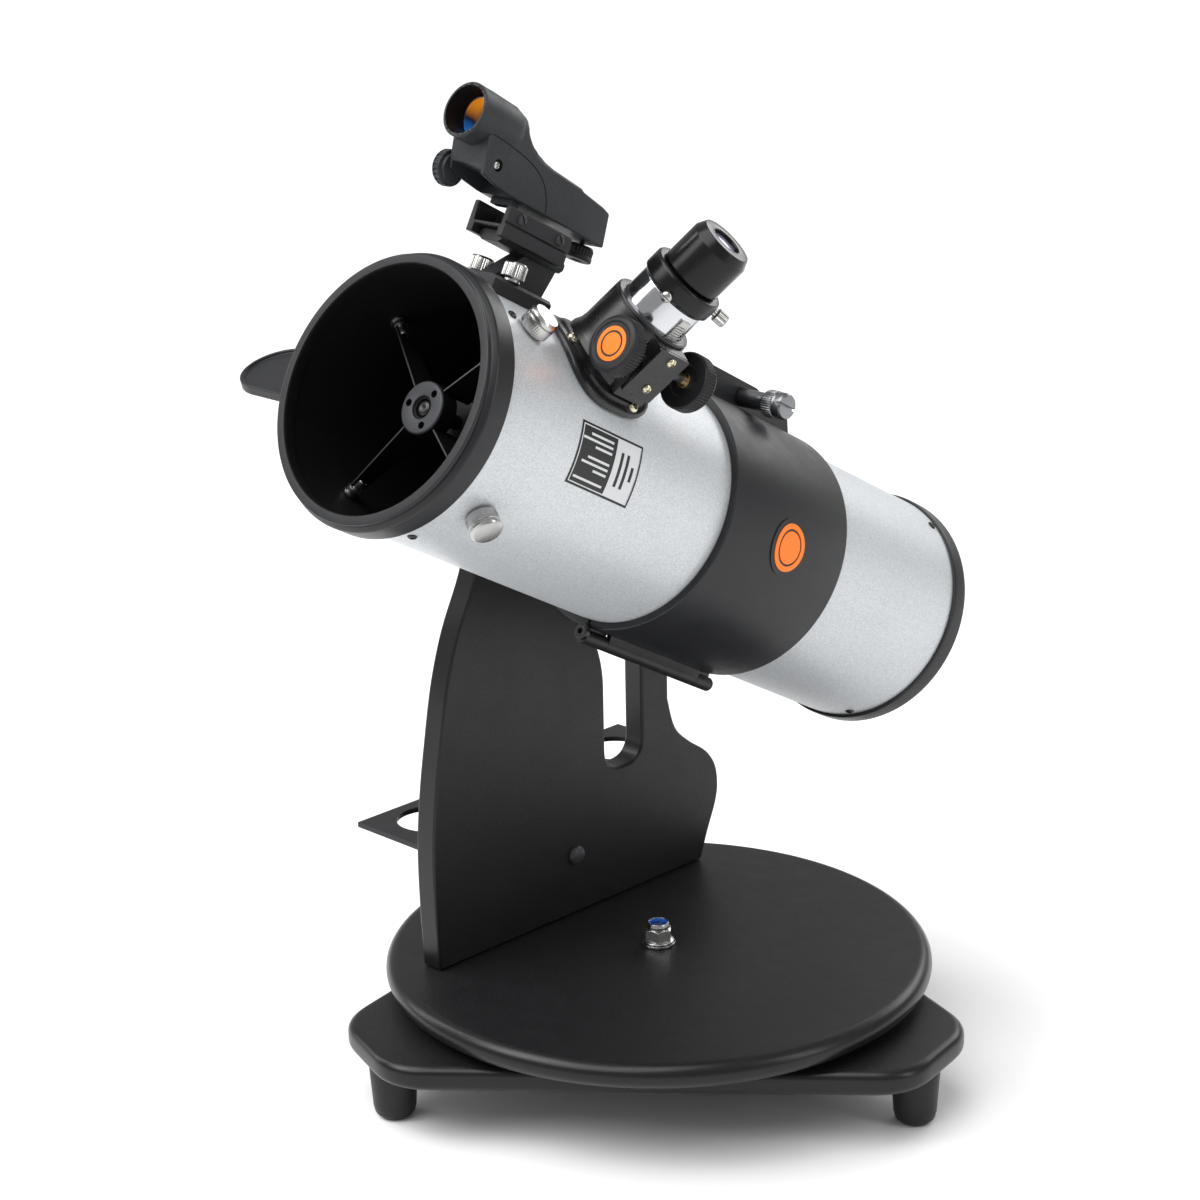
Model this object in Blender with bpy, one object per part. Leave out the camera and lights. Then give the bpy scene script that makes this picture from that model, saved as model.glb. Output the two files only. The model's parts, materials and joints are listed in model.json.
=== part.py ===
"""Tabletop dobsonian telescope: a tilting reflector tube on a one-armed turntable base.

Metres, +Z up. The tube looks towards -Y and up, the arm stands on the -X side, and the focuser is on the
+X side. Three frames carry the parts: the azimuth axis (vertical, on the turntable's top), the altitude axis
(across the tube, +Y running back along the tube) and the focuser axis (+Z running out of the tube).
The object stands on z = 0 with the middle of its footprint box at the origin.
"""

import math

import bmesh
import bpy
from mathutils import Matrix, Vector

MM = 0.001

# Clearances
REST_GAP = 0.3 * MM  # between pieces that touch or are bolted together
RUNNING_GAP = 0.3 * MM  # round a shaft, and between pieces that slide

# Numbers of facets
FINE = 48
MEDIUM = 24
SMALL = 16
TINY = 8
ROUND_STEPS = 2

# Feet
FOOT_HEIGHT = 36.0 * MM
FOOT_TOP_RADIUS = 15.0 * MM
FOOT_SHOULDER_RADIUS = 12.5 * MM
FOOT_SOLE_RADIUS = 8.0 * MM
FOOT_SHOULDER_HEIGHT = 5.0 * MM
FOOT_FROM_CORNER = 19.0 * MM
FOOT_NAMES = ("foot_front_left", "foot_front_right", "foot_rear")

# Ground board
BOARD_THICKNESS = 16.0 * MM
BOARD_INRADIUS = 133.0 * MM
BOARD_CORNER_DISTANCE = 200.0 * MM
BOARD_CORNER_RADIUS = 26.0 * MM
BOARD_EDGE_RADIUS = 4.0 * MM
BOARD_FIRST_CORNER_DEG = -109.0

# Turntable and azimuth pivot
TURNTABLE_RADIUS = 170.0 * MM
TURNTABLE_THICKNESS = 16.0 * MM
BEARING_THICKNESS = 5.0 * MM
BEARING_INNER_RADIUS = 70.0 * MM
BEARING_OUTER_RADIUS = 90.0 * MM
PIVOT_BOLT_RADIUS = 5.0 * MM
PIVOT_HEAD_RADIUS = 12.0 * MM
PIVOT_HEAD_THICKNESS = 4.0 * MM
PIVOT_BUSH_WALL = 3.0 * MM
PIVOT_WASHER_RADIUS = 10.5 * MM
PIVOT_WASHER_THICKNESS = 1.5 * MM
LOCK_NUT_FLANGE_RADIUS = 9.8 * MM
LOCK_NUT_FLANGE_THICKNESS = 2.0 * MM
LOCK_NUT_ACROSS_FLATS = 15.5 * MM
LOCK_NUT_HEX_HEIGHT = 7.5 * MM
LOCK_NUT_COLLAR_RADIUS = 6.9 * MM
LOCK_NUT_COLLAR_HEIGHT = 3.5 * MM
INSERT_WALL = 1.3 * MM
INSERT_DEPTH = 3.0 * MM

# Side arm: y and z of its outline, z above the turntable or, in the upper half, from the altitude axis
ARM_INNER_X = -70.1 * MM
ARM_THICKNESS = 15.7 * MM
ALTITUDE_HEIGHT = 274.9 * MM
ALTITUDE_Y = 4.1 * MM
ARM_TOP_RADIUS = 78.9 * MM
ARM_TOP_Y = 6.9 * MM
ARM_FRONT_LOWER = ((-120.0, 0.3), (-122.0, 45.0), (-122.0, 80.0), (-119.0, 112.0))
ARM_FRONT_UPPER = ((-113.6, -129.9), (-106.4, -93.9), (-96.3, -62.9), (-80.7, -30.4))
ARM_REAR_LOWER = ((85.8, 122.0), (92.5, 100.5), (106.0, 87.0), (122.0, 75.5), (130.6, 63.5), (133.0, 50.0),
                  (130.8, 37.0), (122.5, 17.5), (116.0, 0.3))
SLOT_FRONT_Y = 27.0 * MM
SLOT_REAR_Y = 61.0 * MM
SLOT_BOTTOM = 88.0 * MM
SLOT_FLARE_START = 160.0 * MM
SLOT_FLARE_Y = 9.0 * MM
SLOT_TOP_BELOW_AXIS = 66.0 * MM
SLOT_CORNER_RADIUS = 12.0 * MM

# Eyepiece rack
RACK_FRONT_Y = -118.0 * MM
RACK_REAR_Y = 115.0 * MM
RACK_DEPTH = 59.0 * MM
RACK_THICKNESS = 3.5 * MM
RACK_TOP = 78.0 * MM
RACK_FOOT = 26.0 * MM
RACK_HOLE_RADIUS = 20.5 * MM
RACK_HOLE_COUNT = 4
RACK_HOLE_MARGIN = 34.0 * MM
RACK_BOLT_Y = -1.4 * MM
RACK_BOLT_Z = 40.1 * MM
RACK_BOLT_RADIUS = 3.0 * MM
RACK_BOLT_HEAD_RADIUS = 6.0 * MM
RACK_BOLT_HEAD_HEIGHT = 3.4 * MM
RACK_NUT_RADIUS = 6.2 * MM
RACK_NUT_THICKNESS = 5.0 * MM

# Tube, its rings and the altitude
TUBE_ALTITUDE_DEG = 28.92
TUBE_RADIUS = 72.0 * MM
TUBE_WALL = 1.6 * MM
TUBE_FRONT = 8.0 * MM
TUBE_REAR = 457.0 * MM
ALTITUDE_STATION = 270.0 * MM  # of the altitude axis, behind the tube's front plane
FRONT_RING_INSET = 2.8 * MM  # of its bore, inside the tube's outer surface
FRONT_RING_LIP_RISE = 2.85 * MM  # above the tube's outer surface
FRONT_RING_BODY_RISE = 5.3 * MM
FRONT_RING_DEPTH = 19.1 * MM
FRONT_RING_STEP = 6.0 * MM
REAR_RING_WALL = 1.6 * MM
REAR_RING_START = 447.8 * MM
REAR_RING_END = 463.0 * MM
REAR_RING_OPENING = 42.0 * MM

# Cradle shells
BAND_WALL = 4.6 * MM
BAND_START = 214.7 * MM
BAND_END = 325.2 * MM
BAND_TO_ARM = 17.9 * MM
SHELL_HALF_ANGLE_DEG = 89.4
BOSS_RADIUS = 30.0 * MM
ALTITUDE_WASHER_RADIUS = 32.0 * MM
ALTITUDE_WASHER_THICKNESS = 2.4 * MM
ALTITUDE_BOLT_RADIUS = 5.0 * MM
ALTITUDE_BOLT_DEPTH = 8.0 * MM
ALTITUDE_BUSH_WALL = 4.0 * MM
KNOB_RADIUS = 27.0 * MM
KNOB_LOBE = 2.2 * MM
KNOB_LOBES = 8
KNOB_THICKNESS = 22.0 * MM
KNOB_STANDOFF = 2.5 * MM

# Clamp lugs, bolt and nut on top of the cradle
LUG_THICKNESS = 7.0 * MM
LUG_GAP = 1.2 * MM
LUG_TALL = 20.5 * MM  # above the tube
LUG_LOW = 13.5 * MM
LUG_FRONT = 216.0 * MM
LUG_STEP = 281.0 * MM
LUG_REAR = 322.0 * MM
CLAMP_STATION = 269.3 * MM
CLAMP_HEIGHT = 11.0 * MM  # above the tube
CLAMP_SHANK_RADIUS = 3.0 * MM
CLAMP_BARREL_RADIUS = 5.6 * MM
CLAMP_BARREL_LENGTH = 17.0 * MM
CLAMP_HEAD_RADIUS = 8.3 * MM
CLAMP_HEAD_LENGTH = 19.0 * MM
CLAMP_OPENING_PLAY = 1.2 * MM  # round the shank in the far lug, so that the shell can swing open
CLAMP_NUT_RADIUS = 7.0 * MM
CLAMP_NUT_THICKNESS = 6.0 * MM

# Hinge under the cradle
HINGE_BELOW_TUBE = 10.2 * MM
HINGE_RADIUS = 4.3 * MM
HINGE_PIN_RADIUS = 2.0 * MM
HINGE_START = 212.0 * MM
HINGE_END = 332.0 * MM
HINGE_FRONT_KNUCKLE = 20.0 * MM
HINGE_REAR_KNUCKLE = 13.0 * MM
HINGE_WEB = 4.0 * MM

# Mirrors
PRIMARY_RADIUS = 57.0 * MM
PRIMARY_THICKNESS = 12.0 * MM
PRIMARY_FACE = 424.0 * MM
CELL_RIM = 3.5 * MM
CELL_PLATE = 6.0 * MM
CELL_TO_TUBE = 2.0 * MM
COLLIMATION_CIRCLE = 54.0 * MM
COLLIMATION_SHANK = 2.5 * MM
COLLIMATION_HEAD = 6.5 * MM
COLLIMATION_HEAD_LENGTH = 9.0 * MM
SECONDARY_RADIUS = 17.0 * MM
SECONDARY_THICKNESS = 5.0 * MM
HOLDER_RADIUS = 14.0 * MM
HOLDER_START = 62.0 * MM

# Spider
HUB_RADIUS = 15.0 * MM
HUB_FRONT = 33.0 * MM
HUB_DEPTH = 12.0 * MM
HUB_POST_RADIUS = 4.0 * MM
VANE_THICKNESS = 1.2 * MM
VANE_ROOT_DEPTH = 22.0 * MM
VANE_TIP_DEPTH = 9.0 * MM
SPIDER_STATION = 46.0 * MM
SPIDER_FIRST_DEG = 50.0
SPIDER_STUD_RADIUS = 2.2 * MM
SPIDER_END_RADIUS = 4.0 * MM
SPIDER_END_LENGTH = 6.0 * MM
SPIDER_KNOB_RADIUS = 9.0 * MM
SPIDER_KNOB_HEIGHT = 12.0 * MM
SPIDER_KNOB_NAMES = ("spider_knob_upper_near", "spider_knob_upper_far", "spider_knob_lower_far",
                     "spider_knob_lower_near")

# Focuser: radii about its own axis, heights above the tube
FOCUSER_STATION = 110.5 * MM
FOCUSER_DEG = 53.9
FLANGE_MARGIN_LENGTH = 8.5 * MM  # beyond the housing
FLANGE_MARGIN_WIDTH = 8.0 * MM
FLANGE_CORNER_RADIUS = 30.0 * MM
FLANGE_THICKNESS = 4.2 * MM
FLANGE_SHIFT = -4.0 * MM
HOUSING_WALL = 5.0 * MM  # its clearance round the drawtube included
HOUSING_TOP = 40.0 * MM
DRAWTUBE_RADIUS = 20.5 * MM
DRAWTUBE_WALL = 2.0 * MM
DRAWTUBE_INNER_END = 11.0 * MM  # below the tube's surface
DRAWTUBE_OUTER_END = 56.0 * MM
RACK_BAR_HALF_WIDTH = 3.5 * MM
RACK_BAR_RISE = 1.6 * MM
RACK_BAR_START = 4.0 * MM
RACK_BAR_END = 53.0 * MM
PINION_HEIGHT = 24.4 * MM
PINION_RISE = 5.7 * MM  # of its axis, outside the drawtube
PINION_RADIUS = 3.7 * MM
PINION_HALF_LENGTH = 8.0 * MM
PINION_SHAFT_RADIUS = 2.5 * MM
PINION_WALL = 1.6 * MM
BLOCK_HALF_LENGTH = 12.0 * MM
BLOCK_START = 6.0 * MM
BLOCK_END = 38.0 * MM
BLOCK_RISE = 10.5 * MM  # outside the drawtube
COVER_THICKNESS = 2.2 * MM
FOCUS_KNOB_RADIUS = 16.5 * MM
FOCUS_KNOB_THICKNESS = 10.5 * MM
FOCUS_KNOB_CLEARANCE = 0.8 * MM  # to the housing
FOCUS_KNOB_GRIP = 8.0 * MM
COLLAR_RISE = 2.0 * MM  # outside the drawtube
COLLAR_HEIGHT = 12.0 * MM
COLLAR_SPIGOT = 9.0 * MM
EYEPIECE_BARREL_RADIUS = 15.87 * MM
EYEPIECE_BARREL_LENGTH = 26.0 * MM
EYEPIECE_BARREL_WALL = 1.8 * MM
EYEPIECE_BODY_RADIUS = 18.0 * MM
EYEPIECE_BODY_LENGTH = 28.0 * MM
EYEPIECE_TOP_RADIUS = 15.2 * MM
EYEPIECE_CHAMFER = 5.5 * MM
EYE_HOLE_RADIUS = 8.6 * MM
EYE_HOLE_DEPTH = 3.5 * MM
EYE_LENS_THICKNESS = 2.0 * MM
THUMBSCREW_RADIUS = 2.0 * MM
THUMBSCREW_HEAD_RADIUS = 4.0 * MM
THUMBSCREW_HEAD_LENGTH = 7.0 * MM
THUMBSCREW_STANDOFF = 2.0 * MM
THUMBSCREW_DEG = 35.0

# Finder: x across the tube, stations along it, heights above it
FINDER_FOOT_HALF_WIDTH = 18.0 * MM
FINDER_FOOT_START = 36.0 * MM
FINDER_FOOT_END = 83.0 * MM
FINDER_FOOT_TOP = 7.5 * MM
STEM_HALF_WIDTH = 6.0 * MM
STEM_PROFILE = ((43.0, 6.5), (85.0, 6.5), (90.0, 28.0), (64.0, 28.0))
RAIL_HALF_WIDTH = 9.0 * MM
RAIL_START = 40.0 * MM
RAIL_END = 92.0 * MM
RAIL_BOTTOM = 25.5 * MM
RAIL_TOP = 32.0 * MM
CLAMP_HALF_WIDTH = 14.0 * MM
CLAMP_BLOCK_START = 34.0 * MM
CLAMP_BLOCK_END = 86.0 * MM
CLAMP_BLOCK_TOP = 45.0 * MM
CLAMP_JAW_BOTTOM = 30.5 * MM
FINDER_NUT_OFFSET = 13.2 * MM
FINDER_NUT_STATION = 53.0 * MM
FINDER_NUT_RADIUS = 4.5 * MM
FINDER_NUT_HEAD_RADIUS = 6.6 * MM
FINDER_NUT_HEIGHT = 11.0 * MM
FINDER_STUD_RADIUS = 2.0 * MM
BODY_HALF_WIDTH = 13.3 * MM
BODY_PROFILE = ((7.0, 53.0), (0.5, 69.0), (16.0, 82.0), (21.0, 86.0), (25.0, 84.0), (33.0, 74.5), (45.6, 69.4),
                (108.0, 67.8), (111.8, 48.4), (30.0, 48.6), (26.0, 49.2))
PIVOT_LUG_STATION = 42.0 * MM
PIVOT_LUG_HALF_LENGTH = 3.0 * MM
PIVOT_LUG_HALF_WIDTH = 8.0 * MM
HOOD_RADIUS = 15.5 * MM
HOOD_BORE = 13.2 * MM
HOOD_FRONT = -8.0 * MM
HOOD_REAR = 19.0 * MM
HOOD_HEIGHT = 81.5 * MM
FINDER_LENS_STATION = 11.0 * MM
FINDER_LENS_THICKNESS = 2.0 * MM
SIDE_DIAL_RADIUS = 10.0 * MM
SIDE_DIAL_THICKNESS = 8.0 * MM
SIDE_DIAL_STATION = 12.0 * MM
SIDE_DIAL_HEIGHT = 54.0 * MM
WHEEL_RADIUS = 8.2 * MM
WHEEL_HUB_RADIUS = 6.3 * MM
WHEEL_STATION = 108.0 * MM
WHEEL_BOTTOM = 38.5 * MM
WHEEL_TOP = 46.8 * MM
WHEEL_STUD_RADIUS = 1.2 * MM
WHEEL_STUD_TOP = 52.4 * MM
WHEEL_STUD_PLAY = 0.6 * MM  # round the stud, in the body, which tilts over it
WHEEL_STUD_HEADROOM = 2.0 * MM
WHEEL_FLANGE = 2.6 * MM

# Side dock: a saddle on the arm side of the tube with a lipped paddle
DOCK_END = 92.0 * MM
DOCK_HALF_HEIGHT = 15.0 * MM
DOCK_REACH = 27.0 * MM
PADDLE_CENTRE_REACH = 48.0 * MM
PADDLE_STATION = 35.5 * MM
PADDLE_HEIGHT = 2.0 * MM
PADDLE_RADIUS = 23.5 * MM
PADDLE_THICKNESS = 4.0 * MM
PADDLE_LIP = 1.6 * MM
PADDLE_LIP_WALL = 2.2 * MM
PADDLE_TILT_DEG = 45.0
PADDLE_ROOT = 10.0 * MM
DOCK_BOLT_RADIUS = 2.5 * MM
DOCK_BOLT_HEAD_RADIUS = 6.0 * MM
DOCK_BOLT_HEAD_LENGTH = 7.0 * MM
DOCK_BOLT_STATION = 69.0 * MM

# Values that follow from the ones above
DECK = FOOT_HEIGHT + BOARD_THICKNESS + BEARING_THICKNESS + TURNTABLE_THICKNESS
BAND_RADIUS = TUBE_RADIUS + BAND_WALL
TUBE_X = ARM_INNER_X + BAND_TO_ARM + BAND_RADIUS
ARM_OUTER_X = ARM_INNER_X - ARM_THICKNESS
FRONT_RING_INNER = TUBE_RADIUS - FRONT_RING_INSET
FRONT_RING_LIP = TUBE_RADIUS + FRONT_RING_LIP_RISE
FRONT_RING_BODY = TUBE_RADIUS + FRONT_RING_BODY_RISE
HOUSING_RADIUS = DRAWTUBE_RADIUS + HOUSING_WALL
FLANGE_HALF_LENGTH = HOUSING_RADIUS + FLANGE_MARGIN_LENGTH
FLANGE_HALF_WIDTH = HOUSING_RADIUS + FLANGE_MARGIN_WIDTH
FOCUS_KNOB_INNER = HOUSING_RADIUS + FOCUS_KNOB_CLEARANCE
PINION_OFFSET = DRAWTUBE_RADIUS + PINION_RISE
BLOCK_OUTER = DRAWTUBE_RADIUS + BLOCK_RISE
COLLAR_RADIUS = DRAWTUBE_RADIUS + COLLAR_RISE

LOOKS = {
    "board": ((0.030, 0.030, 0.032), 0.60, 0.0),
    "silver_paint": ((0.62, 0.63, 0.65), 0.35, 0.6),
    "black_plastic": ((0.020, 0.020, 0.021), 0.45, 0.0),
    "charcoal_paint": ((0.045, 0.047, 0.050), 0.35, 0.2),
    "rubber": ((0.018, 0.018, 0.018), 0.80, 0.0),
    "chrome": ((0.80, 0.80, 0.80), 0.12, 1.0),
    "steel": ((0.55, 0.55, 0.55), 0.30, 1.0),
    "white_nylon": ((0.80, 0.80, 0.76), 0.50, 0.0),
    "blue_nylon": ((0.02, 0.10, 0.60), 0.45, 0.0),
    "mirror": ((0.90, 0.90, 0.92), 0.02, 1.0),
    "matt_black": ((0.010, 0.010, 0.010), 0.90, 0.0),
    "coated_glass": ((0.05, 0.10, 0.30), 0.05, 0.0),
}


def clear_scene():
    for obj in list(bpy.data.objects):
        bpy.data.objects.remove(obj, do_unlink=True)


def look(name):
    """The named material, made on first use."""
    found = bpy.data.materials.get(name)
    if found:
        return found
    colour, roughness, metallic = LOOKS[name]
    made = bpy.data.materials.new(name)
    made.use_nodes = True
    shader = made.node_tree.nodes["Principled BSDF"]
    shader.inputs["Base Color"].default_value = (*colour, 1.0)
    shader.inputs["Roughness"].default_value = roughness
    shader.inputs["Metallic"].default_value = metallic
    return made


def empty(name, parent, location, rotation=(0.0, 0.0, 0.0)):
    made = bpy.data.objects.new(name, None)
    bpy.context.scene.collection.objects.link(made)
    made.parent = parent
    made.location = location
    made.rotation_euler = rotation
    return made


def solid(name, mesh_data, material, parent, location=(0.0, 0.0, 0.0), rotation=(0.0, 0.0, 0.0)):
    """A named object made from a bmesh, which is freed."""
    mesh = bpy.data.meshes.new(name)
    mesh_data.to_mesh(mesh)
    mesh_data.free()
    made = bpy.data.objects.new(name, mesh)
    bpy.context.scene.collection.objects.link(made)
    made.parent = parent
    made.location = location
    made.rotation_euler = rotation
    mesh.materials.append(look(material))
    mesh.shade_smooth()
    mesh.set_sharp_from_angle(angle=math.radians(30.0))
    return made


def combine(target, tool_mesh, operation, place=None):
    """Adds a Boolean to the target. The tool is in the target's own frame, moved by the place matrix."""
    if place is not None:
        bmesh.ops.transform(tool_mesh, matrix=place, verts=tool_mesh.verts)
        bmesh.ops.recalc_face_normals(tool_mesh, faces=tool_mesh.faces)
    number = len(target.modifiers) + 1
    tool_name = f"{target.name}_{operation.lower()}_{number}"
    mesh = bpy.data.meshes.new(tool_name)
    tool_mesh.to_mesh(mesh)
    tool_mesh.free()
    tool = bpy.data.objects.new(tool_name, mesh)
    bpy.context.scene.collection.objects.link(tool)
    tool.parent = target
    tool.hide_render = True
    tool.display_type = "WIRE"
    modifier = target.modifiers.new(tool_name, "BOOLEAN")
    modifier.operation = operation
    modifier.solver = "EXACT"
    modifier.object = tool


def cut(target, tool_mesh, place=None):
    combine(target, tool_mesh, "DIFFERENCE", place)


def join(target, tool_mesh, place=None):
    combine(target, tool_mesh, "UNION", place)


def mapped(first, second, height, axis):
    """A point from two plane coordinates and a height along the given axis."""
    if axis == "X":
        return Vector((height, first, second))
    if axis == "Y":
        return Vector((first, height, second))
    return Vector((first, second, height))


def turned(profile, segments, axis="Z", start=None, sweep=math.tau):
    """A body of revolution from a closed (radius, height) profile, whole or over part of a turn.

    A radius of 0 is a pole. Angles run from the plane's first axis towards its second. A whole turn starts
    half a facet round, so that facets and not edges face along the axes."""
    mesh = bmesh.new()
    whole = start is None
    if whole:
        start = math.pi / segments
    columns = segments if whole else segments + 1
    rings = []
    for radius, height in profile:
        count = 1 if radius == 0 else columns
        ring = []
        for index in range(count):
            angle = start + sweep * index / segments
            corner = mapped(radius * math.cos(angle), radius * math.sin(angle), height, axis)
            ring.append(mesh.verts.new(corner))
        rings.append(ring)
    for lower, upper in zip(rings, rings[1:] + rings[:1]):
        if len(lower) == 1 and len(upper) == 1:
            continue
        for index in range(segments):
            after = (index + 1) % columns
            corners = []
            for ring, step in ((lower, index), (lower, after), (upper, after), (upper, index)):
                corner = ring[step % len(ring)]
                if corner not in corners:
                    corners.append(corner)
            mesh.faces.new(corners)
    if not whole:
        mesh.faces.new([ring[0] for ring in rings])
        mesh.faces.new([ring[-1] for ring in reversed(rings)])
    bmesh.ops.recalc_face_normals(mesh, faces=mesh.faces)
    return mesh


def rod(radius, low, high, segments, axis="Z"):
    return turned([(0.0, low), (radius, low), (radius, high), (0.0, high)], segments, axis)


def collar(inner, outer, low, high, segments, axis="Z"):
    return turned([(inner, low), (outer, low), (outer, high), (inner, high)], segments, axis)


def lofted(loops):
    """A closed body through loops of equal length, capped at both ends."""
    mesh = bmesh.new()
    rings = [[mesh.verts.new(point) for point in loop] for loop in loops]
    count = len(rings[0])
    for lower, upper in zip(rings, rings[1:]):
        for index in range(count):
            after = (index + 1) % count
            mesh.faces.new((lower[index], lower[after], upper[after], upper[index]))
    mesh.faces.new(rings[0])
    mesh.faces.new(reversed(rings[-1]))
    bmesh.ops.recalc_face_normals(mesh, faces=mesh.faces)
    return mesh


def prism(outline, low, high, axis="Z"):
    """A flat outline given a thickness along an axis."""
    loops = []
    for height in (low, high):
        loops.append([mapped(first, second, height, axis) for first, second in outline])
    return lofted(loops)


def block(low, high):
    """A box between two corners."""
    outline = ((low[0], low[1]), (high[0], low[1]), (high[0], high[1]), (low[0], high[1]))
    return prism(outline, low[2], high[2])


def arc(centre, radius, start, end, steps):
    """Points on a circle, angles in radians."""
    points = []
    for index in range(steps + 1):
        angle = start + (end - start) * index / steps
        points.append((centre[0] + radius * math.cos(angle), centre[1] + radius * math.sin(angle)))
    return points


def rounded(corners, radius, steps=4):
    """A polygon, given anticlockwise, with each corner replaced by an arc."""
    points = []
    for index, corner in enumerate(corners):
        here = Vector(corner)
        before = (Vector(corners[index - 1]) - here).normalized()
        after = (Vector(corners[(index + 1) % len(corners)]) - here).normalized()
        half_angle = before.angle(after) / 2
        centre = here + (before + after).normalized() * radius / math.sin(half_angle)
        first = here + before * radius / math.tan(half_angle) - centre
        last = here + after * radius / math.tan(half_angle) - centre
        start = math.atan2(first.y, first.x)
        turn = (math.atan2(last.y, last.x) - start + math.pi) % math.tau - math.pi
        points += arc(centre, radius, start, start + turn, steps)
    return points


def smoothed(points, steps=3):
    """A Catmull-Rom curve through the points, ends included."""
    padded = [points[0], *points, points[-1]]
    curve = []
    for before, here, after, beyond in zip(padded, padded[1:], padded[2:], padded[3:]):
        for index in range(steps):
            t = index / steps
            point = []
            for a, b, c, d in zip(before, here, after, beyond):
                bend = (2 * a - 5 * b + 4 * c - d) * t + (3 * (b - c) + d - a) * t * t
                point.append(b + 0.5 * t * ((c - a) + bend))
            curve.append(tuple(point))
    curve.append(points[-1])
    return curve


def edge_rounding(thickness, radius):
    """(height, inset) pairs up one side of a board whose edges are rounded."""
    lower = []
    for index in range(ROUND_STEPS + 1):
        angle = math.pi / 2 * index / ROUND_STEPS
        lower.append((radius * (1 - math.sin(angle)), radius * (1 - math.cos(angle))))
    lower.reverse()
    levels = [(height, radius - inset) for height, inset in reversed(lower)]
    return sorted(levels + [(thickness - height, inset) for height, inset in levels])


def hexagon(across_flats):
    return arc((0.0, 0.0), across_flats / math.sqrt(3), 0.0, math.tau * 5 / 6, 5)


def station(distance):
    """A distance behind the tube's front plane, as a y in the altitude frame."""
    return distance - ALTITUDE_STATION


def above(height):
    """A height above the tube's outer surface, as a radius from its axis."""
    return TUBE_RADIUS + height


# Base

def board_outline(inset):
    """The ground board's outline: a triangle with cut and rounded corners."""
    corners = []
    near = BOARD_CORNER_DISTANCE - inset
    side = BOARD_INRADIUS - inset
    for index in range(3):
        direction = math.radians(BOARD_FIRST_CORNER_DEG + 120.0 * index)
        half_width = (2 * side - near) * math.tan(math.radians(30.0))
        along = Vector((math.cos(direction), math.sin(direction)))
        across = Vector((-along.y, along.x))
        corners.append(along * near - across * half_width)
        corners.append(along * near + across * half_width)
    return rounded(corners, BOARD_CORNER_RADIUS - inset, 4)


def ground_board(parent):
    bottom = FOOT_HEIGHT
    loops = []
    for height, inset in edge_rounding(BOARD_THICKNESS, BOARD_EDGE_RADIUS):
        loops.append([Vector((x, y, bottom + height)) for x, y in board_outline(inset)])
    made = solid("ground_board", lofted(loops), "board", parent)
    bore = PIVOT_BOLT_RADIUS + REST_GAP
    cut(made, rod(bore, bottom - BOARD_THICKNESS, bottom + 2 * BOARD_THICKNESS, SMALL))


def feet(parent):
    top = FOOT_HEIGHT - REST_GAP
    middle_radius = (FOOT_SOLE_RADIUS + FOOT_SHOULDER_RADIUS) / 2 + 1.2 * MM
    profile = [
        (0.0, 0.0),
        (FOOT_SOLE_RADIUS, 0.0),
        (middle_radius, 0.25 * FOOT_SHOULDER_HEIGHT),
        (FOOT_SHOULDER_RADIUS, FOOT_SHOULDER_HEIGHT),
        (FOOT_TOP_RADIUS, top),
        (0.0, top),
    ]
    circle = BOARD_CORNER_DISTANCE - FOOT_FROM_CORNER
    for index, name in enumerate(FOOT_NAMES):
        direction = math.radians(BOARD_FIRST_CORNER_DEG + 120.0 * index)
        place = (circle * math.cos(direction), circle * math.sin(direction), 0.0)
        solid(name, turned(profile, SMALL), "rubber", parent, place)


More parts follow.
